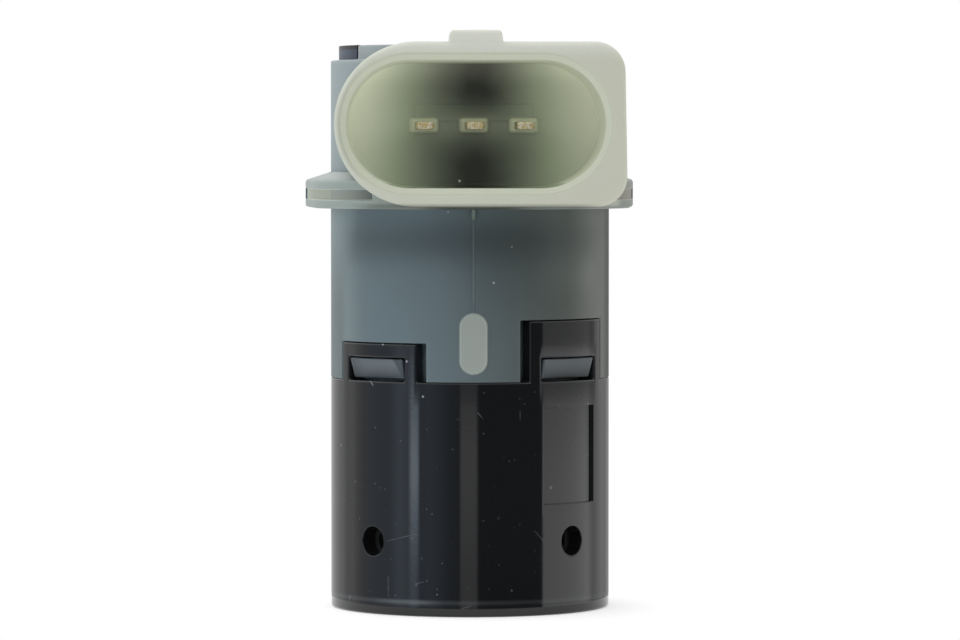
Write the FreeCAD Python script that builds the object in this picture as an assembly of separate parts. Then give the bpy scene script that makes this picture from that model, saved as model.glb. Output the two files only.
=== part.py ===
import FreeCAD, Part
import math
import os

# Ultrasonic parking sensor, in millimetres.
# +Z is up and the connector mouth faces -Y. The origin is the centre of the sensor face,
# which the body stands on. Azimuths are in degrees from the front (-Y) towards +X.

# Body
body_radius = 12.0
body_top = 47.05
rim_height = 1.1
rim_step = 0.65
rim_wall = 1.15
sleeve_wall = 1.5
neck_clearance = 0.1
neck_wall = 1.2

# Transducer stack, from the face upwards
cup_height = 8.6
cup_face = 0.7
cup_end_wall = 1.2
cup_side_wall = 3.7
ring_wall = 1.3
ring_setback = 0.15
bead_height = 1.4
bead_depth = 0.35
bead_z = 2.9
piezo_radius = 3.5
piezo_thickness = 0.3
pad_thickness = 2.0
pad_clearance = 0.25
isolator_thickness = 2.4

# Clip sleeve
sleeve_height = 19.8
face_edge_chamfer = 0.25
band_z = 0.95
band_height = 0.12
band_depth = 0.08
tab_azimuths = (-135, -45, 45, 135)
tab_rises = (5.15, 3.2, 5.15, 3.2)
tab_half_angle = 21.5
tab_inner_gap_angle = 4.0
tab_outer_gap_angle = 0.7
tab_top_gap = 0.05
window_half_angle = 16.0
window_height = 2.0
hook_height = 1.72
hook_top_gap = 0.1
hook_side_gap_angle = 1.0
hook_top_reach = 1.2
hook_bottom_reach = 0.75
lock_hole_radius = 1.25
lock_hole_z = 6.2
lock_dimple_radius = 0.85
lock_dimple_depth = 0.6
pocket_azimuth = 45
pocket_half_angle = 15.0
pocket_depth = 0.25
pocket_bottom = 9.4
pocket_height = 8.25

# Connector
socket_width = 21.4
socket_height = 10.53
socket_depth = 8.6
socket_draft = 0.18
socket_floor = 3.2
mouth_bevel = 0.66
mouth_bevel_depth = 0.4
shroud_height = 13.6
shroud_left_wall = 1.0
shroud_right_wall = 1.7
shroud_right_lean = 1.1
shroud_corner_radius = 2.5
shroud_rim_radius = 0.45
shroud_root = 6.5
latch_width = 4.6
latch_top_width = 4.2
latch_height = 0.95
latch_length = 3.2
latch_edge = 0.3

# Terminals
terminal_pitch = 4.17
terminal_width = 1.5
terminal_thickness = 0.6
terminal_drop = 0.1
terminal_tip_setback = 2.3
terminal_tip_chamfer = 0.2
terminal_anchor_width = 2.3
terminal_anchor_length = 1.4
terminal_anchor_cover = 0.9
terminal_tail = 1.1
boss_width = 2.6
boss_height = 1.36
boss_rise = 0.4
bar_half_length = 4.9
bar_bottom_offset = 0.4
bar_height = 1.4
bar_rise = 0.15

# Ledge and wings under the connector
ledge_drop = 0.25
ledge_edge_height = 2.35
ledge_ramp_rise = 0.7
ledge_ramp_run = 2.1
ledge_setback = 1.0
wing_reach = 2.2
wing_front_reach = 8.0
wing_front_taper = 0.75
wing_wide_from = 2.0
wing_back_reach = 4.0
wing_corner_radius = 0.5
slot_floor = 0.72
slot_height = 0.88
slot_inner_setback = 3.52
slot_back_wall = 2.0
gusset_width = 0.3
gusset_height = 1.05
gusset_reach = 1.1
parting_ridge_width = 0.16
parting_ridge_rise = 0.06

# Oval pad on the front of the housing
oval_width = 2.45
oval_height = 5.25
oval_z = 23.02
oval_rise = 0.14

# Top cover
cover_thickness = 1.6
cover_rise = 0.15
cover_clearance = 0.1
cover_edge = 0.2
notch_half_angle = 32.7
lug_side_gap_angle = 2.5
lug_setback = 0.05
potting_top_gap = 0.5

# Circuit board and what it carries
board_front_reach = 4.6
board_thickness = 1.6
board_side_clearance = 0.17
board_bottom_gap = 4.0
board_top_gap = 2.05
core_width = 9.0
core_depth = 5.0
core_half_height = 4.0
core_back = 1.5
core_leg = 1.5
core_post_radius = 1.5
core_gap = 0.6
bobbin_wall = 0.35
bobbin_flange = 0.4
bobbin_side_gap = 0.1
winding_depth = 0.9
chip_width = 7.5
chip_length = 9.0
chip_thickness = 1.9
chip_lift = 0.1
chip_leg_count = 7
chip_leg_pitch = 1.27
chip_leg_width = 0.42
chip_leg_thickness = 0.2
chip_leg_reach = 1.0
chip_x = -2.6
chip_gap = 0.4
capacitor_radius = 2.4
capacitor_length = 6.8
capacitor_edge = 0.4
capacitor_x = 4.6
diode_width = 4.3
diode_height = 2.5
diode_thickness = 2.1
diode_gap = 0.6
small_part_length = 2.0
small_part_width = 1.25
small_part_thickness = 0.55
small_part_gap_x = 1.3
small_part_gap_z = 1.6
resistor_column_count = 4
resistor_row_count = 3
small_capacitor_column_count = 3
small_capacitor_row_count = 2
small_capacitor_gap = 3.0
solder_radius = 1.15
solder_height = 0.75
solder_tip_radius = 0.85
mound_width = 1.7
mound_height = 2.0
mound_slope = 0.35
mound_cover = 0.25
mound_top_rise = 0.4

# Leads of the transducer
lead_radius = 0.3
lead_board_gap = 0.12
lead_rise_on_board = 2.5
lead_seat_depth = 0.8
piezo_lead_x = -1.5
cup_lead_x = 1.5
cup_lead_reach = 6.6
lead_bend_start = 1.2
lead_bend_height = 2.0

# Sizes that follow from the ones above
rim_top = body_top + rim_height
cover_top = rim_top + cover_rise
connector_top = cover_top
rim_radius = body_radius - rim_step
rim_bore = rim_radius - rim_wall
sleeve_bore = body_radius - sleeve_wall
neck_radius = sleeve_bore - neck_clearance
cavity_radius = neck_radius - neck_wall
cup_radius = sleeve_bore - ring_wall
cup_recess_half_length = cup_radius - cup_end_wall
cup_recess_radius = cup_radius - cup_side_wall
neck_bottom = cup_height + isolator_thickness
cover_bottom = cover_top - cover_thickness
floor_reach = cavity_radius + socket_floor
mouth_reach = floor_reach + socket_depth
socket_z = connector_top - shroud_height / 2
shroud_bottom = connector_top - shroud_height
shroud_left = socket_width / 2 + shroud_left_wall
shroud_right = socket_width / 2 + shroud_right_wall
terminal_z = socket_z - terminal_drop
terminal_xs = (-terminal_pitch, 0.0, terminal_pitch)
ledge_bottom = shroud_bottom - ledge_drop
ledge_half_width = body_radius + wing_reach
ledge_front = mouth_reach - ledge_setback
hook_top = sleeve_height + window_height - hook_top_gap
board_bottom = neck_bottom + board_bottom_gap
board_top = body_top - board_top_gap
board_rear_reach = board_front_reach - board_thickness
board_half_width = math.sqrt(cavity_radius ** 2 - board_front_reach ** 2) - board_side_clearance
lead_top = board_bottom + lead_rise_on_board
piezo_top = cup_face + piezo_thickness
mound_top = lead_top + mound_top_rise
chip_low = mound_top + chip_gap
chip_z = chip_low + chip_length / 2
core_centre_z = chip_low + chip_length + core_gap + core_half_height
diode_low = core_centre_z + core_half_height + diode_gap
resistor_low = mound_top + chip_gap
lead_offset = lead_board_gap + lead_radius
mound_depth = lead_offset + lead_radius + mound_cover
small_step_x = small_part_length + small_part_gap_x
small_step_z = small_part_width + small_part_gap_z
small_capacitor_low = resistor_low + resistor_row_count * small_step_z + small_capacitor_gap
pad_top = piezo_top + pad_thickness
overrun = 1.0

UP = FreeCAD.Vector(0, 0, 1)
BACK = FreeCAD.Vector(0, 1, 0)


def vec(x, y, z):
    return FreeCAD.Vector(x, y, z)


def box(x0, x1, y0, y1, z0, z1):
    return Part.makeBox(x1 - x0, y1 - y0, z1 - z0, vec(x0, y0, z0))


def disc(radius, z0, z1):
    return Part.makeCylinder(radius, z1 - z0, vec(0, 0, z0), UP)


def tube(outer, inner, z0, z1):
    return disc(outer, z0, z1).cut(disc(inner, z0 - overrun, z1 + overrun))


def sector(outer, inner, z0, z1, azimuth, half_angle):
    """Part of a ring, centred on an azimuth."""
    wedge = Part.makeCylinder(outer, z1 - z0, vec(0, 0, z0), UP, 2 * half_angle)
    wedge.rotate(vec(0, 0, 0), UP, azimuth - 90 - half_angle)
    return wedge.cut(disc(inner, z0 - overrun, z1 + overrun))


def radial_cylinder(radius, near, far, azimuth, z):
    """A bar that points away from the axis at an azimuth."""
    angle = math.radians(azimuth)
    outwards = vec(math.sin(angle), -math.cos(angle), 0)
    return Part.makeCylinder(radius, far - near, outwards * near + vec(0, 0, z), outwards)


def turn_to(shape, azimuth):
    """Turns a shape that was drawn at the front to an azimuth."""
    shape.rotate(vec(0, 0, 0), UP, azimuth)
    return shape


def edges_at(shape, axis, value):
    """Edges that lie wholly in the plane where the axis has the value."""
    found = []
    for edge in shape.Edges:
        box_of_edge = edge.BoundBox
        low = getattr(box_of_edge, axis + "Min")
        high = getattr(box_of_edge, axis + "Max")
        if abs(low - value) < 1e-4 and abs(high - value) < 1e-4:
            found.append(edge)
    return found


def stadium_wire(half_length, radius, place):
    """Two half circles joined by straight sides; place maps (across, along) to a point."""
    middle = half_length - radius
    top_line = Part.LineSegment(place(-middle, radius), place(middle, radius))
    right_arc = Part.Arc(place(middle, radius), place(half_length, 0), place(middle, -radius))
    low_line = Part.LineSegment(place(middle, -radius), place(-middle, -radius))
    left_arc = Part.Arc(place(-middle, -radius), place(-half_length, 0), place(-middle, radius))
    curves = (top_line, right_arc, low_line, left_arc)
    return Part.Wire([curve.toShape() for curve in curves])


def socket_wire(reach, growth):
    """Outline of the socket in the plane that lies reach in front of the axis."""
    def place(across, up):
        return vec(across, -reach, socket_z + up)
    return stadium_wire(socket_width / 2 + growth, socket_height / 2 + growth, place)


def recess_wire(z, growth):
    """Oblong recess of the membrane cup, at a height."""
    def place(across, along):
        return vec(across, along, z)
    return stadium_wire(cup_recess_half_length + growth, cup_recess_radius + growth, place)


def loft(wires):
    return Part.makeLoft(wires, True, True)


def shroud_block():
    """Outside of the connector: round at the left, squared at the right, where it leans in a little."""
    half = shroud_height / 2
    y = -mouth_reach
    round_x = -shroud_left + half
    corner = shroud_corner_radius
    high = connector_top
    low = shroud_bottom
    lean = math.radians(shroud_right_lean)

    def corner_point(centre_z, angle):
        """Point of the rounded corner whose centre lies at a height; angle 0 points to +X."""
        side_x = shroud_right - (centre_z - socket_z) * math.tan(lean)
        centre_x = side_x - corner / math.cos(lean)
        return vec(centre_x + corner * math.cos(angle), y, centre_z + corner * math.sin(angle))

    quarter = math.pi / 2
    top_corner = [corner_point(high - corner, angle)
                  for angle in (quarter, (quarter + lean) / 2, lean)]
    low_corner = [corner_point(low + corner, angle)
                  for angle in (lean, (lean - quarter) / 2, -quarter)]
    curves = (
        Part.Arc(vec(round_x, y, low), vec(-shroud_left, y, socket_z), vec(round_x, y, high)),
        Part.LineSegment(vec(round_x, y, high), top_corner[0]),
        Part.Arc(*top_corner),
        Part.LineSegment(top_corner[-1], low_corner[0]),
        Part.Arc(*low_corner),
        Part.LineSegment(low_corner[-1], vec(round_x, y, low)),
    )
    outline = Part.Wire([curve.toShape() for curve in curves])
    block = Part.Face(outline).extrude(BACK * (mouth_reach - shroud_root))
    return block.makeFillet(shroud_rim_radius, edges_at(block, "Y", y))


def latch_nub():
    """Catch on top of the shroud, flush with its rim."""
    y = -mouth_reach
    low = connector_top - shroud_rim_radius
    high = connector_top + latch_height
    corners = (
        vec(-latch_width / 2, y, low),
        vec(latch_width / 2, y, low),
        vec(latch_top_width / 2, y, high),
        vec(-latch_top_width / 2, y, high),
    )
    outline = Part.makePolygon(list(corners) + [corners[0]])
    nub = Part.Face(outline).extrude(BACK * latch_length)
    return nub.makeFillet(latch_edge, edges_at(nub, "Z", high))


def ledge_outline(z, inset):
    """Plan of the ledge: a round front between two wing tips that widen towards the back."""
    half = ledge_half_width - inset
    front_half = half - wing_front_taper
    front = -(ledge_front - inset)
    shoulder = -wing_front_reach
    wide = wing_wide_from - inset
    back = wing_back_reach - inset
    corner = wing_corner_radius
    slant = corner * (1 - math.sqrt(0.5))
    curves = (
        Part.Arc(vec(-front_half, shoulder, z), vec(0, front, z), vec(front_half, shoulder, z)),
        Part.LineSegment(vec(front_half, shoulder, z), vec(half, wide, z)),
        Part.LineSegment(vec(half, wide, z), vec(half, back - corner, z)),
        Part.Arc(vec(half, back - corner, z), vec(half - slant, back - slant, z),
                 vec(half - corner, back, z)),
        Part.LineSegment(vec(half - corner, back, z), vec(corner - half, back, z)),
        Part.Arc(vec(corner - half, back, z), vec(slant - half, back - slant, z),
                 vec(-half, back - corner, z)),
        Part.LineSegment(vec(-half, back - corner, z), vec(-half, wide, z)),
        Part.LineSegment(vec(-half, wide, z), vec(-front_half, shoulder, z)),
    )
    return Part.Wire([curve.toShape() for curve in curves])


def ledge():
    """Ledge under the connector, with a clip slot in each wing that a thin wall closes behind."""
    edge_top = ledge_bottom + ledge_edge_height
    plate = Part.Face(ledge_outline(ledge_bottom, 0)).extrude(UP * ledge_edge_height)
    ramp = loft([ledge_outline(edge_top, 0),
                 ledge_outline(edge_top + ledge_ramp_rise, ledge_ramp_run)])
    shape = plate.fuse(ramp)
    inner_x = body_radius - slot_inner_setback
    slot_low = ledge_bottom + slot_floor
    slot_high = slot_low + slot_height
    for side in (-1, 1):
        ends = sorted((side * inner_x, side * (ledge_half_width + overrun)))
        slot_back = wing_back_reach - slot_back_wall
        slot = box(ends[0], ends[1], -mouth_reach, slot_back, slot_low, slot_high)
        shape = shape.cut(slot)
    return shape


def gusset():
    """Small triangular rib where the parting line meets the ledge."""
    inside = body_radius - overrun
    outline = Part.makePolygon([
        vec(-gusset_width / 2, -inside, ledge_bottom),
        vec(-gusset_width / 2, -(body_radius + gusset_reach), ledge_bottom),
        vec(-gusset_width / 2, -body_radius, ledge_bottom - gusset_height),
        vec(-gusset_width / 2, -inside, ledge_bottom - gusset_height),
        vec(-gusset_width / 2, -inside, ledge_bottom),
    ])
    return Part.Face(outline).extrude(vec(gusset_width, 0, 0))


def parting_ridge():
    """Witness line of the mould down the front of the housing."""
    reach = body_radius + parting_ridge_rise
    half = parting_ridge_width / 2
    return box(-half, half, -reach, overrun - body_radius, sleeve_height, ledge_bottom)


def oval_pad():
    """Flat oval pad low on the front of the housing."""
    def place(across, along):
        return vec(along, overrun - body_radius, oval_z + across)
    outline = stadium_wire(oval_height / 2, oval_width / 2, place)
    return Part.Face(outline).extrude(vec(0, -(overrun + oval_rise), 0))


def hook(azimuth):
    """Wedge that the sleeve's window snaps over: flat on top, ramped below."""
    low = hook_top - hook_height
    half_angle = window_half_angle - hook_side_gap_angle
    inside = neck_radius - neck_wall / 2
    outline = Part.makePolygon([
        vec(-body_radius, -inside, low),
        vec(-body_radius, -(neck_radius + hook_bottom_reach), low),
        vec(-body_radius, -(neck_radius + hook_top_reach), hook_top),
        vec(-body_radius, -inside, hook_top),
        vec(-body_radius, -inside, low),
    ])
    bar = Part.Face(outline).extrude(vec(2 * body_radius, 0, 0))
    limits = sector(body_radius, inside, low, hook_top, 0, half_angle)
    return turn_to(bar.common(limits), azimuth)


def terminal(x):
    """Flat blade from the socket through its floor to the circuit board."""
    half_width = terminal_width / 2
    half_thick = terminal_thickness / 2
    tip = -(mouth_reach - terminal_tip_setback)
    tail = terminal_tail - board_rear_reach
    blade = box(-half_width, half_width, tip, tail,
                terminal_z - half_thick, terminal_z + half_thick)
    blade = blade.makeChamfer(terminal_tip_chamfer, edges_at(blade, "Y", tip))
    anchor_front = terminal_anchor_cover - floor_reach
    anchor = box(-terminal_anchor_width / 2, terminal_anchor_width / 2,
                 anchor_front, anchor_front + terminal_anchor_length,
                 terminal_z - half_thick, terminal_z + half_thick)
    shape = blade.fuse(anchor).removeSplitter()
    shape.translate(vec(x, 0, 0))
    return shape


def terminal_boss(x):
    """Raised collar of the socket floor round a blade."""
    return box(x - boss_width / 2, x + boss_width / 2,
               -(floor_reach + boss_rise), overrun - floor_reach,
               terminal_z - boss_height / 2, terminal_z + boss_height / 2)


def floor_bar():
    """Low bar across the socket floor above the blades."""
    low = terminal_z + bar_bottom_offset
    return box(-bar_half_length, bar_half_length,
               -(floor_reach + bar_rise), overrun - floor_reach, low, low + bar_height)


def tab_recess(azimuth, rise):
    """Room for a tab of the sleeve; its gap is wider on the side nearer the front or the back."""
    far = body_radius + oval_rise + parting_ridge_rise
    half_angle = tab_half_angle + (tab_inner_gap_angle + tab_outer_gap_angle) / 2
    shift = (tab_inner_gap_angle - tab_outer_gap_angle) / 2 * math.sin(math.radians(2 * azimuth))
    return sector(far, neck_radius, sleeve_height - overrun, sleeve_height + rise + tab_top_gap,
                  azimuth - shift, half_angle)


def housing(terminals):
    """Translucent moulding: body, connector shroud, wings and snap hooks in one."""
    shape = disc(body_radius, sleeve_height, body_top)
    shape = shape.fuse(disc(rim_radius, sleeve_height, rim_top))
    shape = shape.fuse([shroud_block(), latch_nub(), ledge(), gusset(), parting_ridge(), oval_pad()])

    for azimuth, rise in zip(tab_azimuths, tab_rises):
        shape = shape.cut(tab_recess(azimuth, rise))
    shape = shape.fuse(disc(neck_radius, neck_bottom, sleeve_height))
    shape = shape.fuse([hook(azimuth) for azimuth in tab_azimuths])

    bore = loft([socket_wire(floor_reach, -socket_draft), socket_wire(mouth_reach, 0)])
    bevel_start = mouth_reach - mouth_bevel_depth
    bevel = loft([socket_wire(bevel_start, 0), socket_wire(mouth_reach, mouth_bevel)])
    shape = shape.cut(bore)
    shape = shape.cut(bevel)
    shape = shape.fuse([terminal_boss(x) for x in terminal_xs] + [floor_bar()])

    shape = shape.cut(disc(cavity_radius, neck_bottom - overrun, cover_bottom))
    shape = shape.cut(disc(rim_bore, cover_bottom, connector_top + overrun))
    for azimuth in (-90, 90):
        notch = sector(body_radius, rim_bore - overrun, body_top, rim_top + overrun,
                       azimuth, notch_half_angle)
        shape = shape.cut(notch)
    for blade in terminals:
        shape = shape.cut(blade)
    return shape.removeSplitter()


def sleeve():
    """Glossy clip sleeve with four upright window tabs."""
    shape = tube(body_radius, sleeve_bore, 0, sleeve_height)
    for azimuth, rise in zip(tab_azimuths, tab_rises):
        tab = sector(body_radius, sleeve_bore, sleeve_height - overrun, sleeve_height + rise,
                     azimuth, tab_half_angle)
        shape = shape.fuse(tab)
    outer_edges = [edge for edge in edges_at(shape, "Z", 0)
                   if edge.BoundBox.XMax > sleeve_bore + sleeve_wall / 2]
    shape = shape.makeChamfer(face_edge_chamfer, outer_edges)
    for azimuth in tab_azimuths:
        window = sector(body_radius + overrun, sleeve_bore - overrun, sleeve_height,
                        sleeve_height + window_height, azimuth, window_half_angle)
        hole = radial_cylinder(lock_hole_radius, sleeve_bore - overrun, body_radius + overrun,
                               azimuth, lock_hole_z)
        shape = shape.cut(window)
        shape = shape.cut(hole)
    pocket = sector(body_radius + overrun, body_radius - pocket_depth, pocket_bottom,
                    pocket_bottom + pocket_height, pocket_azimuth, pocket_half_angle)
    band = tube(body_radius + overrun, body_radius - band_depth, band_z, band_z + band_height)
    shape = shape.cut(pocket)
    shape = shape.cut(band)
    return shape.cut(bead(sleeve_bore))


def bead(radius):
    """Half-round ring that stands bead_depth proud of a radius, as a full disc."""
    low = bead_z - bead_height / 2
    high = bead_z + bead_height / 2
    outline = Part.Wire([
        Part.LineSegment(vec(0, 0, low), vec(radius, 0, low)).toShape(),
        Part.Arc(vec(radius, 0, low), vec(radius + bead_depth, 0, bead_z),
                 vec(radius, 0, high)).toShape(),
        Part.LineSegment(vec(radius, 0, high), vec(0, 0, high)).toShape(),
        Part.LineSegment(vec(0, 0, high), vec(0, 0, low)).toShape(),
    ])
    return Part.Face(outline).revolve(vec(0, 0, 0), UP, 360)


def decoupling_ring():
    """Silicone ring between the cup and the sleeve, locked by a bead in the sleeve."""
    shape = disc(sleeve_bore, ring_setback, cup_height).fuse(bead(sleeve_bore))
    shape = shape.cut(disc(cup_radius, ring_setback - overrun, cup_height + overrun))
    for azimuth in tab_azimuths:
        dimple = radial_cylinder(lock_dimple_radius, sleeve_bore - lock_dimple_depth,
                                 body_radius, azimuth, lock_hole_z)
        shape = shape.cut(dimple)
    return shape.removeSplitter()


def membrane_cup(leads):
    """Aluminium cup whose closed end is the vibrating sensor face."""
    recess = loft([recess_wire(cup_face, 0), recess_wire(cup_height + overrun, 0)])
    shape = disc(cup_radius, 0, cup_height).cut(recess)
    return shape.cut(leads)


def piezo_disc():
    return disc(piezo_radius, cup_face, piezo_top)


def absorber_pad(leads):
    """Soft pad that lies on the piezo disc."""
    shape = loft([recess_wire(piezo_top, -pad_clearance), recess_wire(pad_top, -pad_clearance)])
    return shape.cut(leads)


def damping_plug(leads):
    """Silicone fill that closes the cup behind the pad."""
    shape = loft([recess_wire(pad_top, 0), recess_wire(cup_height, 0)])
    return shape.cut(leads)


def isolator_disc(leads):
    """Soft disc between the transducer and the neck of the housing."""
    return disc(neck_radius, cup_height, neck_bottom).cut(leads)


def rounded_path(points):
    """Straight runs joined by tangent arcs, each as large as its runs allow."""
    edges = []
    start = points[0]
    for before, corner, after in zip(points, points[1:], points[2:]):
        incoming = (before - corner).normalize()
        outgoing = (after - corner).normalize()
        trim = 0.45 * min((before - corner).Length, (after - corner).Length)
        half_turn = (math.pi - incoming.getAngle(outgoing)) / 2
        radius = trim / math.tan(half_turn)
        print("lead bend radius", round(radius, 2))
        bisector = (incoming + outgoing).normalize()
        centre = corner + bisector * (radius / math.cos(half_turn))
        arc_start = corner + incoming * trim
        arc_end = corner + outgoing * trim
        arc_middle = centre - bisector * radius
        edges.append(Part.LineSegment(start, arc_start).toShape())
        edges.append(Part.Arc(arc_start, arc_middle, arc_end).toShape())
        start = arc_end
    edges.append(Part.LineSegment(start, points[-1]).toShape())
    return Part.Wire(edges)


def piezo_lead():
    """Wire from the piezo disc straight up the rear face of the board."""
    foot = vec(piezo_lead_x, lead_offset - board_rear_reach, piezo_top)
    return Part.makeCylinder(lead_radius, lead_top - piezo_top, foot, UP)


def cup_lead():
    """Wire from the rim of the cup to the front face of the board."""
    seat = cup_height - lead_seat_depth
    bend_z = neck_bottom + lead_bend_start
    near_y = -(board_front_reach + lead_offset)
    points = [
        vec(cup_lead_x, -cup_lead_reach, seat),
        vec(cup_lead_x, -cup_lead_reach, bend_z),
        vec(cup_lead_x, near_y, bend_z + lead_bend_height),
        vec(cup_lead_x, near_y, lead_top),
    ]
    section = Part.Wire(Part.makeCircle(lead_radius, points[0], UP))
    return rounded_path(points).makePipeShell([section], True, False)


def circuit_board(through):
    shape = box(-board_half_width, board_half_width, -board_front_reach, -board_rear_reach,
                board_bottom, board_top)
    return shape.cut(through)


def core_half(side):
    """One E-shaped ferrite half; side is 1 for the upper one and -1 for the lower one."""
    near_y = -board_rear_reach
    far_y = near_y + core_depth
    half = core_width / 2
    inner = half - core_leg
    shape = box(-half, half, near_y, far_y, 0, core_half_height)
    shape = shape.cut(box(-inner, inner, near_y - overrun, far_y + overrun,
                          -overrun, core_half_height - core_back))
    post_y = near_y + core_depth / 2
    post = Part.makeCylinder(core_post_radius, core_half_height, vec(0, post_y, 0), UP)
    shape = shape.fuse(post).removeSplitter()
    if side < 0:
        shape = shape.mirror(vec(0, 0, 0), UP)
    shape.translate(vec(0, 0, core_centre_z))
    return shape


def bobbin_round(radius, low, high):
    """Disc about the core's post, between two heights from the core's middle."""
    y = core_depth / 2 - board_rear_reach
    return Part.makeCylinder(radius, high - low, vec(0, y, core_centre_z + low), UP)


def transformer_bobbin():
    half = core_half_height - core_back
    flange_radius = min(core_width / 2 - core_leg, core_depth / 2) - bobbin_side_gap
    shape = bobbin_round(core_post_radius + bobbin_wall, -half, half)
    shape = shape.fuse(bobbin_round(flange_radius, -half, bobbin_flange - half))
    shape = shape.fuse(bobbin_round(flange_radius, half - bobbin_flange, half))
    return shape.cut(bobbin_round(core_post_radius, -half - overrun, half + overrun))


def transformer_winding():
    half = core_half_height - core_back - bobbin_flange
    inner = core_post_radius + bobbin_wall
    outer = min(inner + winding_depth, core_depth / 2)
    return bobbin_round(outer, -half, half).cut(
        bobbin_round(inner, -half - overrun, half + overrun))


def control_chip():
    """Flat package on the rear of the board, with a row of legs at each side."""
    y0 = chip_lift - board_rear_reach
    shape = box(chip_x - chip_width / 2 + chip_leg_reach, chip_x + chip_width / 2 - chip_leg_reach,
                y0, y0 + chip_thickness, chip_low, chip_low + chip_length)
    first = chip_z - chip_leg_pitch * (chip_leg_count - 1) / 2
    for number in range(chip_leg_count):
        z0 = first + number * chip_leg_pitch - chip_leg_width / 2
        foot = box(chip_x - chip_width / 2, chip_x + chip_width / 2, -board_rear_reach,
                   chip_leg_thickness - board_rear_reach, z0, z0 + chip_leg_width)
        shape = shape.fuse(foot)
    return shape.removeSplitter()


def buffer_capacitor():
    """Round can that stands on the rear of the board."""
    shape = Part.makeCylinder(capacitor_radius, capacitor_length,
                              vec(capacitor_x, -board_rear_reach, chip_z), BACK)
    far = capacitor_length - board_rear_reach
    return shape.makeFillet(capacitor_edge, edges_at(shape, "Y", far))


def diode():
    y0 = -board_rear_reach
    return box(-diode_width / 2, diode_width / 2, y0, y0 + diode_thickness,
               diode_low, diode_low + diode_height)


def small_parts(low, columns, rows):
    """Grid of chip parts on the front of the board, as separate solids."""
    y1 = -board_front_reach
    width = columns * small_step_x - small_part_gap_x
    parts = []
    for row in range(rows):
        z = low + row * small_step_z
        for column in range(columns):
            x = column * small_step_x - width / 2
            parts.append(box(x, x + small_part_length, y1 - small_part_thickness, y1,
                             z, z + small_part_width))
    return Part.makeCompound(parts)


def solder_mound(x, y, side):
    """Mound on the board's face at y that covers the end of a lead."""
    def outline(away, inset):
        half = mound_width / 2 - inset
        low = mound_top - mound_height + inset
        high = mound_top - inset
        out = y + side * away
        return Part.makePolygon([vec(x - half, out, low), vec(x + half, out, low),
                                 vec(x + half, out, high), vec(x - half, out, high),
                                 vec(x - half, out, low)])
    return loft([outline(0, 0), outline(mound_depth, mound_slope)])


def solder_joints(terminals, leads):
    """Cones round the blades' tails and mounds on the leads' ends, as separate solids."""
    joints = []
    for x in terminal_xs:
        cone = Part.makeCone(solder_radius, solder_tip_radius, solder_height,
                             vec(x, -board_rear_reach, terminal_z), BACK)
        joints.append(cone.cut(terminals))
    joints.append(solder_mound(piezo_lead_x, -board_rear_reach, 1).cut(leads))
    joints.append(solder_mound(cup_lead_x, -board_front_reach, -1).cut(leads))
    return Part.makeCompound(joints)


def top_cover():
    """Dark cover of the housing, with two lugs in the notches of the rim."""
    shape = disc(rim_bore - cover_clearance, cover_bottom, cover_top)
    shape = shape.makeChamfer(cover_edge, edges_at(shape, "Z", cover_top))
    lug_radius = rim_radius - lug_setback
    for azimuth in (-90, 90):
        lug = sector(lug_radius, rim_bore - overrun, body_top, cover_top,
                     azimuth, notch_half_angle - lug_side_gap_angle)
        outer_arcs = [edge for edge in edges_at(lug, "Z", cover_top)
                      if abs(getattr(edge.Curve, "Radius", 0) - lug_radius) < 1e-4]
        shape = shape.fuse(lug.makeChamfer(cover_edge, outer_arcs))
    return shape.removeSplitter()


def potting(embedded):
    """Compound poured into the housing round the board and its parts."""
    fill = disc(cavity_radius, neck_bottom, cover_bottom - potting_top_gap)
    for shape in embedded:
        fill = fill.cut(shape)
    return fill


def build():
    """Makes every node of the sensor."""
    blades = [terminal(x) for x in terminal_xs]
    leads = [piezo_lead(), cup_lead()]
    board_parts = {
        "transformer_core_upper": core_half(1),
        "transformer_core_lower": core_half(-1),
        "transformer_bobbin": transformer_bobbin(),
        "transformer_winding": transformer_winding(),
        "control_chip": control_chip(),
        "buffer_capacitor": buffer_capacitor(),
        "diode": diode(),
        "chip_resistors": small_parts(resistor_low, resistor_column_count, resistor_row_count),
        "chip_capacitors": small_parts(small_capacitor_low, small_capacitor_column_count,
                                       small_capacitor_row_count),
        "solder_joints": solder_joints(blades, leads),
    }
    board = circuit_board(blades)
    nodes = {
        "housing": housing(blades),
        "sleeve": sleeve(),
        "top_cover": top_cover(),
        "membrane_cup": membrane_cup(leads),
        "decoupling_ring": decoupling_ring(),
        "piezo_disc": piezo_disc(),
        "absorber_pad": absorber_pad(leads),
        "damping_plug": damping_plug(leads),
        "isolator_disc": isolator_disc(leads),
        "piezo_lead": leads[0],
        "cup_lead": leads[1],
        "terminal_left": blades[0],
        "terminal_middle": blades[1],
        "terminal_right": blades[2],
        "circuit_board": board,
    }
    nodes.update(board_parts)
    embedded = [board] + list(board_parts.values()) + blades + leads
    nodes["potting"] = potting(embedded)
    return nodes


os.makedirs("parts", exist_ok=True)
for name, shape in build().items():
    shape.exportStep("parts/" + name + ".step")
    print(name, len(shape.Solids), "solid,", round(shape.Volume, 1), "mm3")
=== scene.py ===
import bpy
import bmesh
import math
from mathutils import Matrix, Vector


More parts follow.
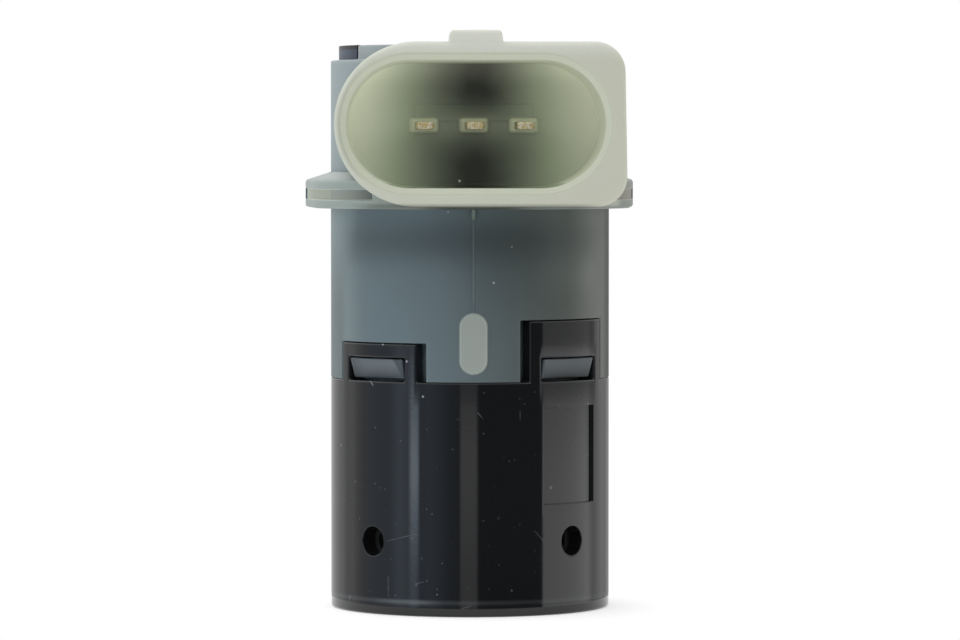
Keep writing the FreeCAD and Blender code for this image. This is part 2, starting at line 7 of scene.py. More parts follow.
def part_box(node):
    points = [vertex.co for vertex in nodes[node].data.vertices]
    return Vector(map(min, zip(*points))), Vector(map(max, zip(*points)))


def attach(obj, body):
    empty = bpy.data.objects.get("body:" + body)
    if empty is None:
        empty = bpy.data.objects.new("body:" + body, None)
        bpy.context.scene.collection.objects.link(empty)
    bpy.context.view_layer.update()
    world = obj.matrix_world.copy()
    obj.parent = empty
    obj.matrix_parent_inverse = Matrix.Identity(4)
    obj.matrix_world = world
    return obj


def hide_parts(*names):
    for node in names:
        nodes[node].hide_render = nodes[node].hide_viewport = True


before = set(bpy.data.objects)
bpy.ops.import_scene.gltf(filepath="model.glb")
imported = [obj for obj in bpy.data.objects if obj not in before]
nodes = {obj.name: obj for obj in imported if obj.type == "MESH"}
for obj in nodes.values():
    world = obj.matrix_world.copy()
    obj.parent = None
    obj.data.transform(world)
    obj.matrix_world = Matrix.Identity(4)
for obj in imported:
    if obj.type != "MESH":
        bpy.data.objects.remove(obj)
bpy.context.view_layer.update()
mm = 0.001

# Shapes are built in millimetres and brought to metres when they are finished.
# Azimuths are in degrees from the front (-Y) towards +X.


def boxOf(name):
    return [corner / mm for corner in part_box(name)]


housingLow, housingHigh = boxOf("housing")
coverLow, coverHigh = boxOf("top_cover")
ringLow, ringHigh = boxOf("decoupling_ring")
bladeLow, bladeHigh = boxOf("terminal_middle")
cupHigh = boxOf("membrane_cup")[1]
bladePitch = boxOf("terminal_right")[0].x - bladeLow.x

# sizes that several pieces share
shared = {
    "radius": boxOf("sleeve")[1].x,
    "sleeveTop": 19.8,
    "sleeveBore": 10.5,
    "rimBore": 10.2,
    "azimuthStep": 1.5,
}

# limits of the mesh work: what counts as equal, in mm, and as a sharp edge, in degrees
near = 0.01
mergeWithin = 0.0002
bevelAbove = 35
sharpAbove = 32


def pointAt(azimuth, radius, z):
    angle = math.radians(azimuth)
    return Vector((radius * math.sin(angle), -radius * math.cos(angle), z))


def spread(breaks, step):  # fills the gaps between breaks with even steps
    values = [breaks[0]]
    for low, high in zip(breaks, breaks[1:]):
        count = max(1, math.ceil((high - low) / step - 0.001))
        values += [low + (high - low) * n / count for n in range(1, count + 1)]
    return values


def sidesOf(centres, half):
    return {centre + side * half for centre in centres for side in (-1, 1)}


def within(azimuth, centre, half):
    return abs((azimuth - centre + 180) % 360 - 180) < half


def quarterRound(radius, steps=4):  # insets from (radius, 0) to (0, radius)
    turns = [math.radians(90 * n / steps) for n in range(steps + 1)]
    return [(radius * (1 - math.sin(turn)), radius * (1 - math.cos(turn))) for turn in turns]


def arcPoints(centre, radius, start, end, count):  # plane points, angles in degrees
    turns = [math.radians(start + (end - start) * n / count) for n in range(count)]
    return [(centre[0] + radius * math.cos(turn), centre[1] + radius * math.sin(turn)) for turn in turns]


def linePoints(start, end, count):
    return [(start[0] + (end[0] - start[0]) * n / count, start[1] + (end[1] - start[1]) * n / count)
            for n in range(count)]


def stadium(halfLength, radius, arc=24, side=6):
    middle = halfLength - radius
    return (arcPoints((middle, 0), radius, -90, 90, arc)
            + linePoints((middle, radius), (-middle, radius), side)
            + arcPoints((-middle, 0), radius, 90, 270, arc)
            + linePoints((-middle, -radius), (middle, -radius), side))


def linkNew(name, data):
    made = bpy.data.objects.new(name, data)
    bpy.context.scene.collection.objects.link(made)
    return made


def fromBmesh(name, bm):
    bmesh.ops.remove_doubles(bm, verts=bm.verts, dist=mergeWithin)
    bmesh.ops.recalc_face_normals(bm, faces=bm.faces)
    mesh = bpy.data.meshes.new(name)
    bm.to_mesh(mesh)
    bm.free()
    return linkNew(name, mesh)


def skin(bm, loops):
    for first, second in zip(loops, loops[1:]):
        for n in range(len(first)):
            bm.faces.new((first[n - 1], first[n], second[n], second[n - 1]))


def lofted(name, loops):  # a solid through loops of points
    bm = bmesh.new()
    rounds = [[bm.verts.new(point) for point in loop] for loop in loops]
    skin(bm, rounds)
    for end in (rounds[0], rounds[-1]):
        bm.faces.new(end)
    return fromBmesh(name, bm)


def prism(name, outline, direction):
    return lofted(name, [outline, [Vector(point) + Vector(direction) for point in outline]])


def block(name, low, high):
    corners = ((low[0], low[1]), (high[0], low[1]), (high[0], high[1]), (low[0], high[1]))
    outline = [(x, y, low[2]) for x, y in corners]
    return prism(name, outline, (0, 0, high[2] - low[2]))


def settle(piece):  # turns the modifiers into plain mesh
    graph = bpy.context.evaluated_depsgraph_get()
    graph.update()
    mesh = bpy.data.meshes.new_from_object(piece.evaluated_get(graph))
    old = piece.data
    piece.modifiers.clear()
    piece.data = mesh
    bpy.data.meshes.remove(old)
    return piece


def rounded(piece, width, segments=3, angle=bevelAbove, rule=None):
    if rule:  # rule(middle of an edge) gives that edge's share of the width
        bm = bmesh.new()
        bm.from_mesh(piece.data)
        layer = bm.edges.layers.float.new("bevel_weight_edge")
        for edge in bm.edges:
            if len(edge.link_faces) == 2 and edge.calc_face_angle(0) > math.radians(angle):
                edge[layer] = rule((edge.verts[0].co + edge.verts[1].co) / 2)
        bm.to_mesh(piece.data)
        bm.free()
    bevel = piece.modifiers.new("rounding", "BEVEL")
    bevel.width = width
    bevel.segments = segments
    bevel.limit_method = "WEIGHT" if rule else "ANGLE"
    bevel.angle_limit = math.radians(angle)
    bevel.use_clamp_overlap = True
    return settle(piece)


def combined(piece, operation, *others):
    for other in others:
        modifier = piece.modifiers.new("combine", "BOOLEAN")
        modifier.operation = operation
        modifier.object = other
        modifier.solver = "EXACT"
        settle(piece)
        bpy.data.objects.remove(other)
    return piece


def finished(piece, material, slotName, *replaced):  # the last step of each piece
    mesh = piece.data
    mesh.materials.clear()
    mesh.materials.append(material)
    mesh.polygons.foreach_set("material_index", [0] * len(mesh.polygons))
    mesh.polygons.foreach_set("use_smooth", [True] * len(mesh.polygons))
    mesh.set_sharp_from_angle(angle=math.radians(sharpAbove))
    weighted = piece.modifiers.new("normals", "WEIGHTED_NORMAL")
    weighted.keep_sharp = True
    settle(piece)
    piece.data.transform(Matrix.Scale(mm, 4))
    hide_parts(*replaced)
    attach(piece, "root")


def polarShell(name, azimuths, heights, cell, radialBreaks=(), bores=(), solid=False):
    # a wall round the Z axis; cell(azimuth, height) gives its outer and inner radius, or None
    azimuths = spread(sorted(azimuths | {-180.0, 180.0}), shared["azimuthStep"])
    bm = bmesh.new()
    known = {}
    columns, rows = range(len(azimuths) - 1), range(len(heights) - 1)
    cells = {(i, j): cell((azimuths[i] + azimuths[i + 1]) / 2, (heights[j] + heights[j + 1]) / 2)
             for i in columns for j in rows}

    def vert(i, j, radius):
        key = (i % len(columns), j, round(radius, 4))
        if key not in known:
            known[key] = bm.verts.new(pointAt(azimuths[key[0]], radius, heights[j]))
        return known[key]

    def close(first, second, start, end):  # faces where only one of two cells has wall
        radii = sorted({radius for pair in (first, second) if pair for radius in pair} | set(radialBreaks))
        for low, high in zip(radii, radii[1:]):
            walls = [bool(pair) and pair[1] < (low + high) / 2 < pair[0] for pair in (first, second)]
            if walls[0] != walls[1]:
                bm.faces.new((vert(*start, low), vert(*start, high), vert(*end, high), vert(*end, low)))

    def nearest(values, target):
        return min(range(len(values)), key=lambda n: abs(values[n] - target))

    bored, spans = (set(), set()), []
    for bore in bores:
        across = [nearest(azimuths, bore["azimuth"] + side * bore["halfAngle"]) for side in (-1, 1)]
        upward = [nearest(heights, bore["z"] + side * bore["halfHeight"]) for side in (-1, 1)]
        spans.append(across + upward)
        patch = {(i, j) for i in range(*across) for j in range(*upward)}
        bored[0].update(patch)
        bored[1].update(patch if bore["through"] else ())

    for (i, j), pair in cells.items():
        for side, radius in enumerate(pair or ()):
            if (i, j) not in bored[side] and not (side and solid):
                around = ((i, j), (i + 1, j), (i + 1, j + 1), (i, j + 1))
                bm.faces.new([vert(a, b, radius) for a, b in around])
    for i in columns:
        for j in rows:
            close(cells[(i - 1) % len(columns), j], cells[i, j], (i, j), (i, j + 1))
        for j in range(len(heights)):
            close(cells.get((i, j - 1)), cells.get((i, j)), (i, j), (i + 1, j))

    for bore, (left, right, low, high) in zip(bores, spans):
        border = [(i, low) for i in range(left, right)] + [(right, j) for j in range(low, high)]
        border += [(i, high) for i in range(right, left, -1)] + [(left, j) for j in range(high, low, -1)]
        outer, inner = cells[left, low]
        corners = [(math.radians(azimuths[i] - bore["azimuth"]), heights[j] - bore["z"]) for i, j in border]

        def placed(offset, rise, distance):
            angle = bore["azimuth"] + math.degrees(math.asin(offset / distance))
            return bm.verts.new(pointAt(angle, distance, bore["z"] + rise))

        def loopAt(radius, distance, share=1.0):  # share 0 is the patch's border, and 1 is a circle
            made = []
            for angle, z in corners:
                turn = math.atan2(z, outer * math.sin(angle))
                edge = distance * math.sin(angle)
                made.append(placed(edge + (radius * math.cos(turn) - edge) * share,
                                   z + (radius * math.sin(turn) - z) * share, distance))
            return made

        profile, shares = bore["profile"], (0.25, 0.5, 0.75)
        loops = [[vert(i, j, outer) for i, j in border]]
        loops += [loopAt(profile[0][0], outer, share) for share in shares]
        loops += [loopAt(radius, distance) for radius, distance in profile]
        if bore["through"]:
            loops += [loopAt(profile[-1][0], inner, share) for share in reversed(shares)]
            loops.append([vert(i, j, inner) for i, j in border])
        skin(bm, loops)
        if not bore["through"]:
            centre = placed(0, 0, profile[-1][1])
            for n in range(len(border)):
                bm.faces.new((loops[-1][n - 1], loops[-1][n], centre))
    if solid:
        bmesh.ops.holes_fill(bm, edges=[edge for edge in bm.edges if edge.is_boundary], sides=0)
    return fromBmesh(name, bm)


# Node maths


class Wire:
    def __init__(self, graph, socket):
        self.graph = graph
        self.socket = socket

    def __add__(self, other):
        return self.graph.math("ADD", self, other)

    def __radd__(self, other):
        return self.graph.math("ADD", other, self)

    def __sub__(self, other):
        return self.graph.math("SUBTRACT", self, other)

    def __rsub__(self, other):
        return self.graph.math("SUBTRACT", other, self)

    def __mul__(self, other):
        return self.graph.math("MULTIPLY", self, other)

    def __rmul__(self, other):
        return self.graph.math("MULTIPLY", other, self)

    def __truediv__(self, other):
        return self.graph.math("DIVIDE", self, other)


class Graph:
    def __init__(self, tree):
        self.tree = tree
        tree.nodes.clear()

    def node(self, kind, settings=None, sockets=None, out=0):
        made = self.tree.nodes.new(kind)
        for name, value in (settings or {}).items():
            setattr(made, name, value)
        for key, value in (sockets or {}).items():
            if isinstance(value, Wire):
                self.tree.links.new(value.socket, made.inputs[key])
            else:
                made.inputs[key].default_value = value
        return Wire(self, made.outputs[out]) if len(made.outputs) else None

    def math(self, operation, first, second=0.0, third=0.0):
        return self.node("ShaderNodeMath", {"operation": operation}, {0: first, 1: second, 2: third})

    def size(self, value):
        return self.math("ABSOLUTE", value)

    def length(self, *parts):
        total = parts[0] * parts[0]
        for part in parts[1:]:
            total = total + part * part
        return self.math("SQRT", total)

    def smooth(self, value, low, high, least=0.0, most=1.0):  # least at low and most at high
        return self.node("ShaderNodeMapRange", {"interpolation_type": "SMOOTHSTEP"},
                         {0: value, 1: low, 2: high, 3: least, 4: most})

    def mask(self, at, steps, amount=1.0):  # product of steps, each along a named coordinate
        made = amount
        for name, *step in steps:
            one = self.smooth(at[name], *step)
            made = one if made == 1.0 else one * made
        return made

    def total(self, at, rows):  # a sum of masks: each row is an amount and its steps
        made = 0.0
        for amount, *steps in rows.values():
            made = made + self.mask(at, steps, amount)
        return made

    def blend(self, share, first, second, kind="MIX"):
        return self.node("ShaderNodeMix", {"data_type": "RGBA", "blend_type": kind},
                         {0: share, 6: first, 7: second}, 2)

    def painted(self, at, colour, layers):  # each layer is a tint, its share and its steps
        for paint, amount, *steps in layers.values():
            colour = self.blend(self.mask(at, steps, amount), colour, paint)
        return colour

    def shaded(self, colour, factor):  # a colour times a number
        colour = colour if isinstance(colour, Wire) else colour[:3]
        return self.node("ShaderNodeVectorMath", {"operation": "SCALE"}, {0: colour, 3: factor})

    def added(self, first, second):
        return self.node("ShaderNodeVectorMath", {"operation": "ADD"}, {0: first, 1: second})

    def noise(self, place, scale, detail=3.0, rough=0.5):
        return self.node("ShaderNodeTexNoise", None,
                         {"Vector": place, "Scale": scale, "Detail": detail, "Roughness": rough})

    def axes(self, vector, scale=1.0):
        return [self.node("ShaderNodeSeparateXYZ", None, {0: vector}, n) * scale for n in range(3)]

    def finish(self, sockets, height, strength, distance):  # the surface, with a bump of some metres
        bump = self.node("ShaderNodeBump", None,
                         {"Height": height, "Strength": strength, "Distance": distance})
        shader = self.node("ShaderNodeBsdfPrincipled", None, {**sockets, "Normal": bump})
        self.node("ShaderNodeOutputMaterial", None, {"Surface": shader})


def tint(red, green, blue):  # display values 0 to 255 as a linear colour
    shares = [value / 255 for value in (red, green, blue)]
    return tuple(share / 12.92 if share <= 0.04045 else ((share + 0.055) / 1.055) ** 2.4
                 for share in shares) + (1.0,)


def newMaterial(name):
    material = bpy.data.materials.new(name)
    material.use_nodes = True
    s = Graph(material.node_tree)
    return material, s, s.node("ShaderNodeTexCoord", None, None, "Object")


def plainFinish(name, colour, roughness, metallic=0.0, scale=900.0, spreadBy=0.25, bump=0.2):
    material, s, place = newMaterial(name)
    coarse = s.noise(place, scale, 3.0)
    fine = s.noise(place, scale * 5, 2.0)
    shade = s.shaded(colour, 1.0 - spreadBy / 2 + (coarse * 0.7 + fine * 0.3) * spreadBy)
    s.finish({"Base Color": shade, "Metallic": metallic, "Roughness": roughness - 0.05 + fine * 0.1},
             fine, bump, 0.00005)
    return material


# Geometry Nodes: a row and a ring of copies


def copiesTree(name, inputs, layOut):
    tree = bpy.data.node_groups.new(name, "GeometryNodeTree")
    kinds = {"Geometry": "NodeSocketGeometry", "Material": "NodeSocketMaterial", "Count": "NodeSocketInt"}
    for label, default in inputs.items():
        kind = kinds.get(label, "NodeSocketFloat")
        socket = tree.interface.new_socket(label, in_out="INPUT", socket_type=kind)
        if default is not None:
            socket.default_value = default
    tree.interface.new_socket("Geometry", in_out="OUTPUT", socket_type=kinds["Geometry"])
    g = Graph(tree)
    source = {label: g.node("NodeGroupInput", None, None, label) for label in inputs}
    copies = g.node("GeometryNodeInstanceOnPoints", None,
                    {"Instance": source["Geometry"], **layOut(g, source)})
    real = g.node("GeometryNodeRealizeInstances", None, {"Geometry": copies})
    painted = g.node("GeometryNodeSetMaterial", None, {"Geometry": real, "Material": source["Material"]})
    g.node("NodeGroupOutput", None, {"Geometry": painted})
    return tree


def rowLayOut(g, source):
    first = (source["Count"] - 1.0) * -0.5 * source["Pitch"]
    start, step = [g.node("ShaderNodeCombineXYZ", None, {"X": value}) for value in (first, source["Pitch"])]
    return {"Points": g.node("GeometryNodeMeshLine", {"mode": "OFFSET"},
                             {"Count": source["Count"], "Start Location": start, "Offset": step})}


def ringLayOut(g, source):
    turn = g.node("GeometryNodeInputIndex") * source["Step"] + source["First"]
    return {"Points": g.node("GeometryNodePoints", None, {"Count": source["Count"]}),
            "Rotation": g.node("ShaderNodeCombineXYZ", None, {"Z": turn})}


rowTree = copiesTree("row of copies", {"Geometry": None, "Count": 3, "Pitch": 4.0, "Material": None},
                     rowLayOut)
ringTree = copiesTree("ring of copies", {"Geometry": None, "Count": 4, "First": 0.0, "Step": 1.0,
                                         "Material": None}, ringLayOut)


def copied(piece, tree, values):
    modifier = piece.modifiers.new("copies", "NODES")
    modifier.node_group = tree
    for item in tree.interface.items_tree:
        if item.item_type == "SOCKET" and item.in_out == "INPUT" and item.name in values:
            modifier[item.identifier] = values[item.name]
    return settle(piece)


print("helpers ready")


# Sleeve

sleeve = {
    "tabAzimuths": (-135, -45, 45, 135),
    "tabRises": (5.15, 3.2, 5.15, 3.2),
    "tabHalfAngle": 21.5,
    "windowHalfAngle": 16.0,
    "windowHeight": 2.0,
    "holeRadius": 1.25,
    "holeZ": 6.2,
    "holeLip": 0.08,
    "patchHalfAngle": 9.0,
    "patchHalfHeight": 1.9,
    "pocketAzimuth": 45,
    "pocketHalfAngle": 15.0,
    "pocketDepth": 0.25,
    "pocketLow": 9.4,
    "pocketHigh": 17.65,
    "bandLow": 0.95,
    "bandHigh": 1.07,
    "bandDepth": 0.08,
    "rounding": 0.25,
    "tabEdge": 0.16,
    "pocketEdge": 0.05,
    "rowStep": 0.32,
}

# A step is a coordinate, where it starts and where it is full, and may end with the value at each.
sleeveLook = {
    "black": tint(20, 21, 23),
    "dust": tint(150, 156, 160),
    "gloss": 0.055,
    "smudge": 0.03,
    "markRoughness": 0.4,
    "bump": (0.05, 0.00002),
    # scale, size, share of the cells and strength
    "coarseDust": (900.0, 0.16, 0.12, 0.4),
    "fineDust": (2300.0, 0.26, 0.1, 0.22),
    "dustLeftward": (("x", 5.0, -4.0, 0.35, 1.0),),
    "front": (("y", 0.0, -1.0),),
    "broken": (("streak", 0.4, 0.6, 0.5, 1.0),),
    # painted highlight: a light line along the lip, brightest on the left, in the dust colour and rougher
    "lipLine": (("fromLip", 0.34, 0.06), ("y", 2.0, -2.0)),
    "lipHighlight": {
        "allRound": (0.06,),
        "left": (0.16, ("x", -2.5, -4.5), ("x", -9.0, -6.5)),
        "leftward": (0.05, ("x", 5.0, -5.0)),
    },
    # x, z of both ends, width and strength, on the front half
    "scratches": (
        (-7.2, 6.3, -4.8, 7.0, 0.06, 0.2),
        (-7.15, 1.6, -7.15, 3.3, 0.1, 0.12),
        (-10.45, 0.95, -10.4, 1.35, 0.07, 0.7),
        (-1.0, 0.75, -0.1, 1.0, 0.06, 0.2),
        (3.95, 16.6, 3.95, 17.4, 0.05, 0.15),
        (0.35, 17.3, 0.75, 16.8, 0.05, 0.25),
        (-8.87, 20.1, -8.44, 19.45, 0.06, 0.6),
        (-4.85, 2.75, -4.2, 2.95, 0.06, 0.3),
        (5.2, 7.2, 6.0, 6.3, 0.05, 0.2),
    ),
    # x, z, size and strength
    "specks": (
        (-5.6, 21.54, 0.12, 0.9),
        (-4.24, 18.6, 0.12, 0.9),
        (-7.6, 22.92, 0.1, 0.9),
        (-3.06, 1.9, 0.07, 0.6),
    ),
}


def sleevePlastic():
    material, s, place = newMaterial("sleevePlastic")
    look = sleeveLook
    x, y, z = s.axes(place, 1 / mm)
    at = {"x": x, "y": y, "streak": s.noise(place, 2400.0, 1.0),
          "fromLip": s.size(z - sleeve["bandHigh"] - 0.1)}
    front = s.mask(at, look["front"])
    broken = front * s.mask(at, look["broken"])

    def dust(scale, size, share, strength):  # dots in a few of the cells
        cell, random = [s.node("ShaderNodeTexVoronoi", {"feature": "F1"},
                               {"Vector": place, "Scale": scale}, n)
                        for n in range(2)]
        pick = s.node("ShaderNodeSeparateColor", None, {0: random})
        return s.smooth(cell, size, size * 0.3) * s.smooth(pick, 1.0 - share, 1.0 - share * 0.3) * strength

    marks = s.math("MAXIMUM", dust(*look["coarseDust"]),
                   dust(*look["fineDust"]) * s.mask(at, look["dustLeftward"]))
    for x0, z0, x1, z1, width, strength in look["scratches"]:
        length = math.hypot(x1 - x0, z1 - z0)
        dx, dz = (x1 - x0) / length, (z1 - z0) / length
        along = (x - x0) * dx + (z - z0) * dz
        inside = s.math("MINIMUM", s.math("MAXIMUM", along, 0.0), length)
        distance = s.length(x - x0 - inside * dx, z - z0 - inside * dz)
        marks = s.math("MAXIMUM", marks, s.smooth(distance, width, width * 0.3) * broken * strength)
    for x0, z0, size, strength in look["specks"]:
        distance = s.length(x - x0, z - z0)
        marks = s.math("MAXIMUM", marks, s.smooth(distance, size, size * 0.5) * front * strength)
    # the painted highlight along the lip
    marks = s.math("MAXIMUM", marks, s.mask(at, look["lipLine"]) * s.total(at, look["lipHighlight"]))
    rough = look["gloss"] + s.noise(place, 160.0, 4.0, 0.6) * look["smudge"] + marks * look["markRoughness"]
    s.finish({"Base Color": s.blend(marks, look["black"], look["dust"]), "Roughness": rough, "IOR": 1.5},
             s.noise(place, 3000.0, 2.0), *look["bump"])
    return material


def lipProfile(radius, lip, outer, inner):  # a bore with a rounded mouth at each end
    profile = [(radius + inset, outer - depth) for inset, depth in quarterRound(lip)]
    return profile + [(r, inner + outer - d) for r, d in reversed(profile)]


def holeRows():
    return spread([sleeve["holeZ"] + side * sleeve["patchHalfHeight"] for side in (-1, 1)], sleeve["rowStep"])


def holeBores(profile, through):
    return [{"azimuth": azimuth, "z": sleeve["holeZ"], "halfAngle": sleeve["patchHalfAngle"],
             "halfHeight": sleeve["patchHalfHeight"], "through": through, "profile": profile}
            for azimuth in sleeve["tabAzimuths"]]


def sleevePiece():
    outer, inner, top = shared["radius"], shared["sleeveBore"], shared["sleeveTop"]
    centres, windowTop = sleeve["tabAzimuths"], top + sleeve["windowHeight"]
    azimuths = sidesOf([sleeve["pocketAzimuth"]], sleeve["pocketHalfAngle"])
    for half in (sleeve["tabHalfAngle"], sleeve["windowHalfAngle"], sleeve["patchHalfAngle"]):
        azimuths |= sidesOf(centres, half)
    heights = [0.0, sleeve["bandLow"], sleeve["bandHigh"]] + holeRows()
    heights += [sleeve["pocketLow"], sleeve["pocketHigh"], top, windowTop]
    heights += [top + rise for rise in sorted(set(sleeve["tabRises"]))]

    def cell(azimuth, z):
        if z > top:
            inTab = any(within(azimuth, centre, sleeve["tabHalfAngle"]) and z < top + rise
                        for centre, rise in zip(centres, sleeve["tabRises"]))
            inWindow = z < windowTop and any(within(azimuth, centre, sleeve["windowHalfAngle"])
                                             for centre in centres)
            return (outer, inner) if inTab and not inWindow else None
        if sleeve["bandLow"] < z < sleeve["bandHigh"]:
            return (outer - sleeve["bandDepth"], inner)
        pocketed = (within(azimuth, sleeve["pocketAzimuth"], sleeve["pocketHalfAngle"])
                    and sleeve["pocketLow"] < z < sleeve["pocketHigh"])
        return (outer - sleeve["pocketDepth"] if pocketed else outer, inner)

    def share(middle):
        radius = math.hypot(middle.x, middle.y)
        if middle.z < near and radius > inner + 0.5:
            return 1.0
        if sleeve["bandLow"] - near < middle.z < sleeve["bandHigh"] + near:
            return 0.0
        if sleeve["pocketLow"] - near < middle.z < sleeve["pocketHigh"] + near and radius > inner + 0.2:
            return sleeve["pocketEdge"] / sleeve["rounding"]
        return sleeve["tabEdge"] / sleeve["rounding"] if middle.z > top - near else 0.0

    profile = lipProfile(sleeve["holeRadius"], sleeve["holeLip"], outer, inner)
    made = polarShell("sleeve_shell", azimuths, heights, cell, bores=holeBores(profile, True))
    rounded(made, sleeve["rounding"], rule=share)
    finished(made, sleevePlastic(), "sleeve_plastic", "sleeve")


sleevePiece()
print("sleeve ready")


# Silicone ring and painted cup, which show in the sleeve's holes and from below

ring = {
    "dimpleRadius": 0.85,
    "dimpleDepth": 0.6,
    "dimpleLip": 0.06,
    "edge": 0.12,
    "tint": tint(30, 31, 32),
    "roughness": 0.6,
}

cup = {
    "faceEdge": 0.3,
    "recessHalfLength": 8.0,
    "recessRadius": 5.5,
    "faceThickness": 0.7,
    "steps": 180,
    "tint": tint(44, 45, 47),
    "roughness": 0.42,
    "grain": (0.0, 1500.0, 0.2, 0.3),
}


def ringPiece():
    outer, inner = shared["sleeveBore"], cupHigh.x
    profile = lipProfile(ring["dimpleRadius"], ring["dimpleLip"], outer, outer - ring["dimpleDepth"])[:6]
    made = polarShell("silicone_ring", sidesOf(sleeve["tabAzimuths"], sleeve["patchHalfAngle"]),
                      [ringLow.z] + holeRows() + [ringHigh.z], lambda azimuth, z: (outer, inner),
                      bores=holeBores(profile, False))
    rounded(made, ring["edge"], 2, rule=lambda middle: 1.0 if middle.z < ringLow.z + near else 0.0)
    silicone = plainFinish("siliconeRing", ring["tint"], ring["roughness"])
    finished(made, silicone, "silicone", "decoupling_ring")


def cupPiece():
    radius, height, steps = cupHigh.x, cupHigh.z, cup["steps"]
    profile = [(radius - inset, rise) for inset, rise in quarterRound(cup["faceEdge"])] + [(radius, height)]
    made = lofted("membrane_cup_body",
                  [[pointAt(360 * n / steps, reach, z) for n in range(steps)] for reach, z in profile])
    outline = [(x, y, cup["faceThickness"]) for x, y in stadium(cup["recessHalfLength"], cup["recessRadius"])]
    combined(made, "DIFFERENCE", prism("recess", outline, (0, 0, height)))
    finished(made, plainFinish("paintedFace", cup["tint"], cup["roughness"], *cup["grain"]),
             "painted_cup", "membrane_cup")


ringPiece()
cupPiece()
print("transducer ready")


# Blades

blade = {
    "halfWidth": 0.75,
    "anchorHalfWidth": 1.15,
    "anchorFront": -11.5,
    "anchorBack": -10.1,
    "edge": 0.07,
    "tipChamfer": 0.2,
    "patches": (tint(196, 178, 124), tint(214, 208, 184)),
    "drawnScale": (6000.0, 250.0, 6000.0),
}


def bladeMetal():
    material, s, place = newMaterial("bladeMetal")
    patches = s.noise(place, 5200.0, 2.0)
    drawn = s.noise(s.node("ShaderNodeMapping", None, {0: place, 3: blade["drawnScale"]}), 1.0, 2.0)
    colour = s.shaded(s.blend(s.smooth(patches, 0.42, 0.6), *blade["patches"]), 0.72 + drawn * 0.36)
    s.finish({"Base Color": colour, "Metallic": 0.85, "Roughness": 0.28 + patches * 0.2},
             patches, 0.5, 0.00006)
    return material


metalBlade = bladeMetal()


def bladeRow(name, edge):
    thin, wide, chamfer = blade["halfWidth"], blade["anchorHalfWidth"], blade["tipChamfer"]
    tip, front, back, tail = bladeLow.y, blade["anchorFront"], blade["anchorBack"], bladeHigh.y
    right = [(thin - chamfer, tip), (thin, tip + chamfer), (thin, front), (wide, front), (wide, back),
             (thin, back), (thin, tail)]
    outline = right + [(-x, y) for x, y in reversed(right)]
    made = prism(name, [(x, y, bladeLow.z) for x, y in outline], (0, 0, bladeHigh.z - bladeLow.z))
    if edge:
        rounded(made, edge, 2)
    return copied(made, rowTree, {"Count": 3, "Pitch": bladePitch, "Material": metalBlade})


def bladesPiece():
    finished(bladeRow("terminal_blades", blade["edge"]), metalBlade, "terminal_metal",
             "terminal_left", "terminal_middle", "terminal_right")


# Housing

body = {
    "top": 47.05,
    "rimTop": 48.28,
    "rimStep": 0.65,
    "neckRadius": 10.4,
    "cavityRadius": 9.2,
    "notchHalfAngle": 31.3,
    "edge": 0.14,
    "innerShare": 0.4,
}

shroud = {
    "top": coverHigh.z,
    "mouth": -housingLow.y,
    "depth": 8.6,
    "halfWidth": 10.7,
    "halfHeight": 5.265,
    "draft": 0.18,
    "bevel": 0.66,
    "bevelDepth": 0.4,
    "socketZ": 41.5,
    "leftReach": 11.7,
    "rightReach": 12.4,
    "lean": 1.1,
    "corner": 2.5,
    "rim": 0.45,
    "root": 6.5,
    "rootRadius": 10.25,
    "rootSteps": 16,
    "softEdge": 0.08,
    "arcSteps": 48,
    "sideSteps": 28,
}

ledge = {
    "low": 34.45,
    "edgeHigh": 36.8,
    "rampHigh": 37.5,
    "rampRun": 2.1,
    "frontReach": 20.0,
    "halfWidth": 14.2,
    "shoulder": 8.0,
    "taper": 0.75,
    "wideFrom": 2.0,
    "back": 4.0,
    "corner": 0.5,
    "slotLow": 35.17,
    "slotHigh": 36.05,
    "slotInner": 8.48,
    "slotBack": 2.0,
    "edge": 0.2,
    "coreRadius": 10.8,
    "shroudInset": 0.3,
}

detail = {
    "hookLow": 19.98,
    "hookTop": 21.7,
    "hookHalfAngle": 15.0,
    "hookTopReach": 1.2,
    "hookLowReach": 0.75,
    "hookSunk": 0.6,
    "hookEdge": 0.14,
    "recessInnerGap": 4.0,
    "recessOuterGap": 0.7,
    "recessGap": 0.05,
    "ovalWidth": 2.3,
    "ovalHeight": 5.1,
    "ovalZ": 23.06,
    "ovalRise": 0.14,
    "ovalEdge": 0.07,
    "ridgeWidth": 0.16,
    "ridgeRise": 0.06,
    "ridgeEdge": 0.03,
    "gussetReach": 1.1,
    "gussetHeight": 1.05,
    "gussetWidth": 0.3,
    "gussetEdge": 0.06,
    "nubHalfWidth": 2.3,
    "nubTopHalfWidth": 2.1,
    "nubLength": 3.2,
    "nubSunk": 0.65,
    "nubEdge": 0.28,
    "bossWidth": 2.6,
    "bossHeight": 1.36,
    "bossRise": 0.4,
    "bossEdge": 0.3,
    "barHalfLength": 4.9,
    "barLow": 41.8,
    "barHigh": 43.2,
    "barRise": 0.15,
    "barEdge": 0.06,
    "floorSunk": 0.8,
}

ahead = ("y", 0.0, -2.0)
onOvalSide = ("y", -11.0, -11.6)
atWingEnd = ("aside", ledge["halfWidth"] - 0.2, ledge["halfWidth"] - 0.12)

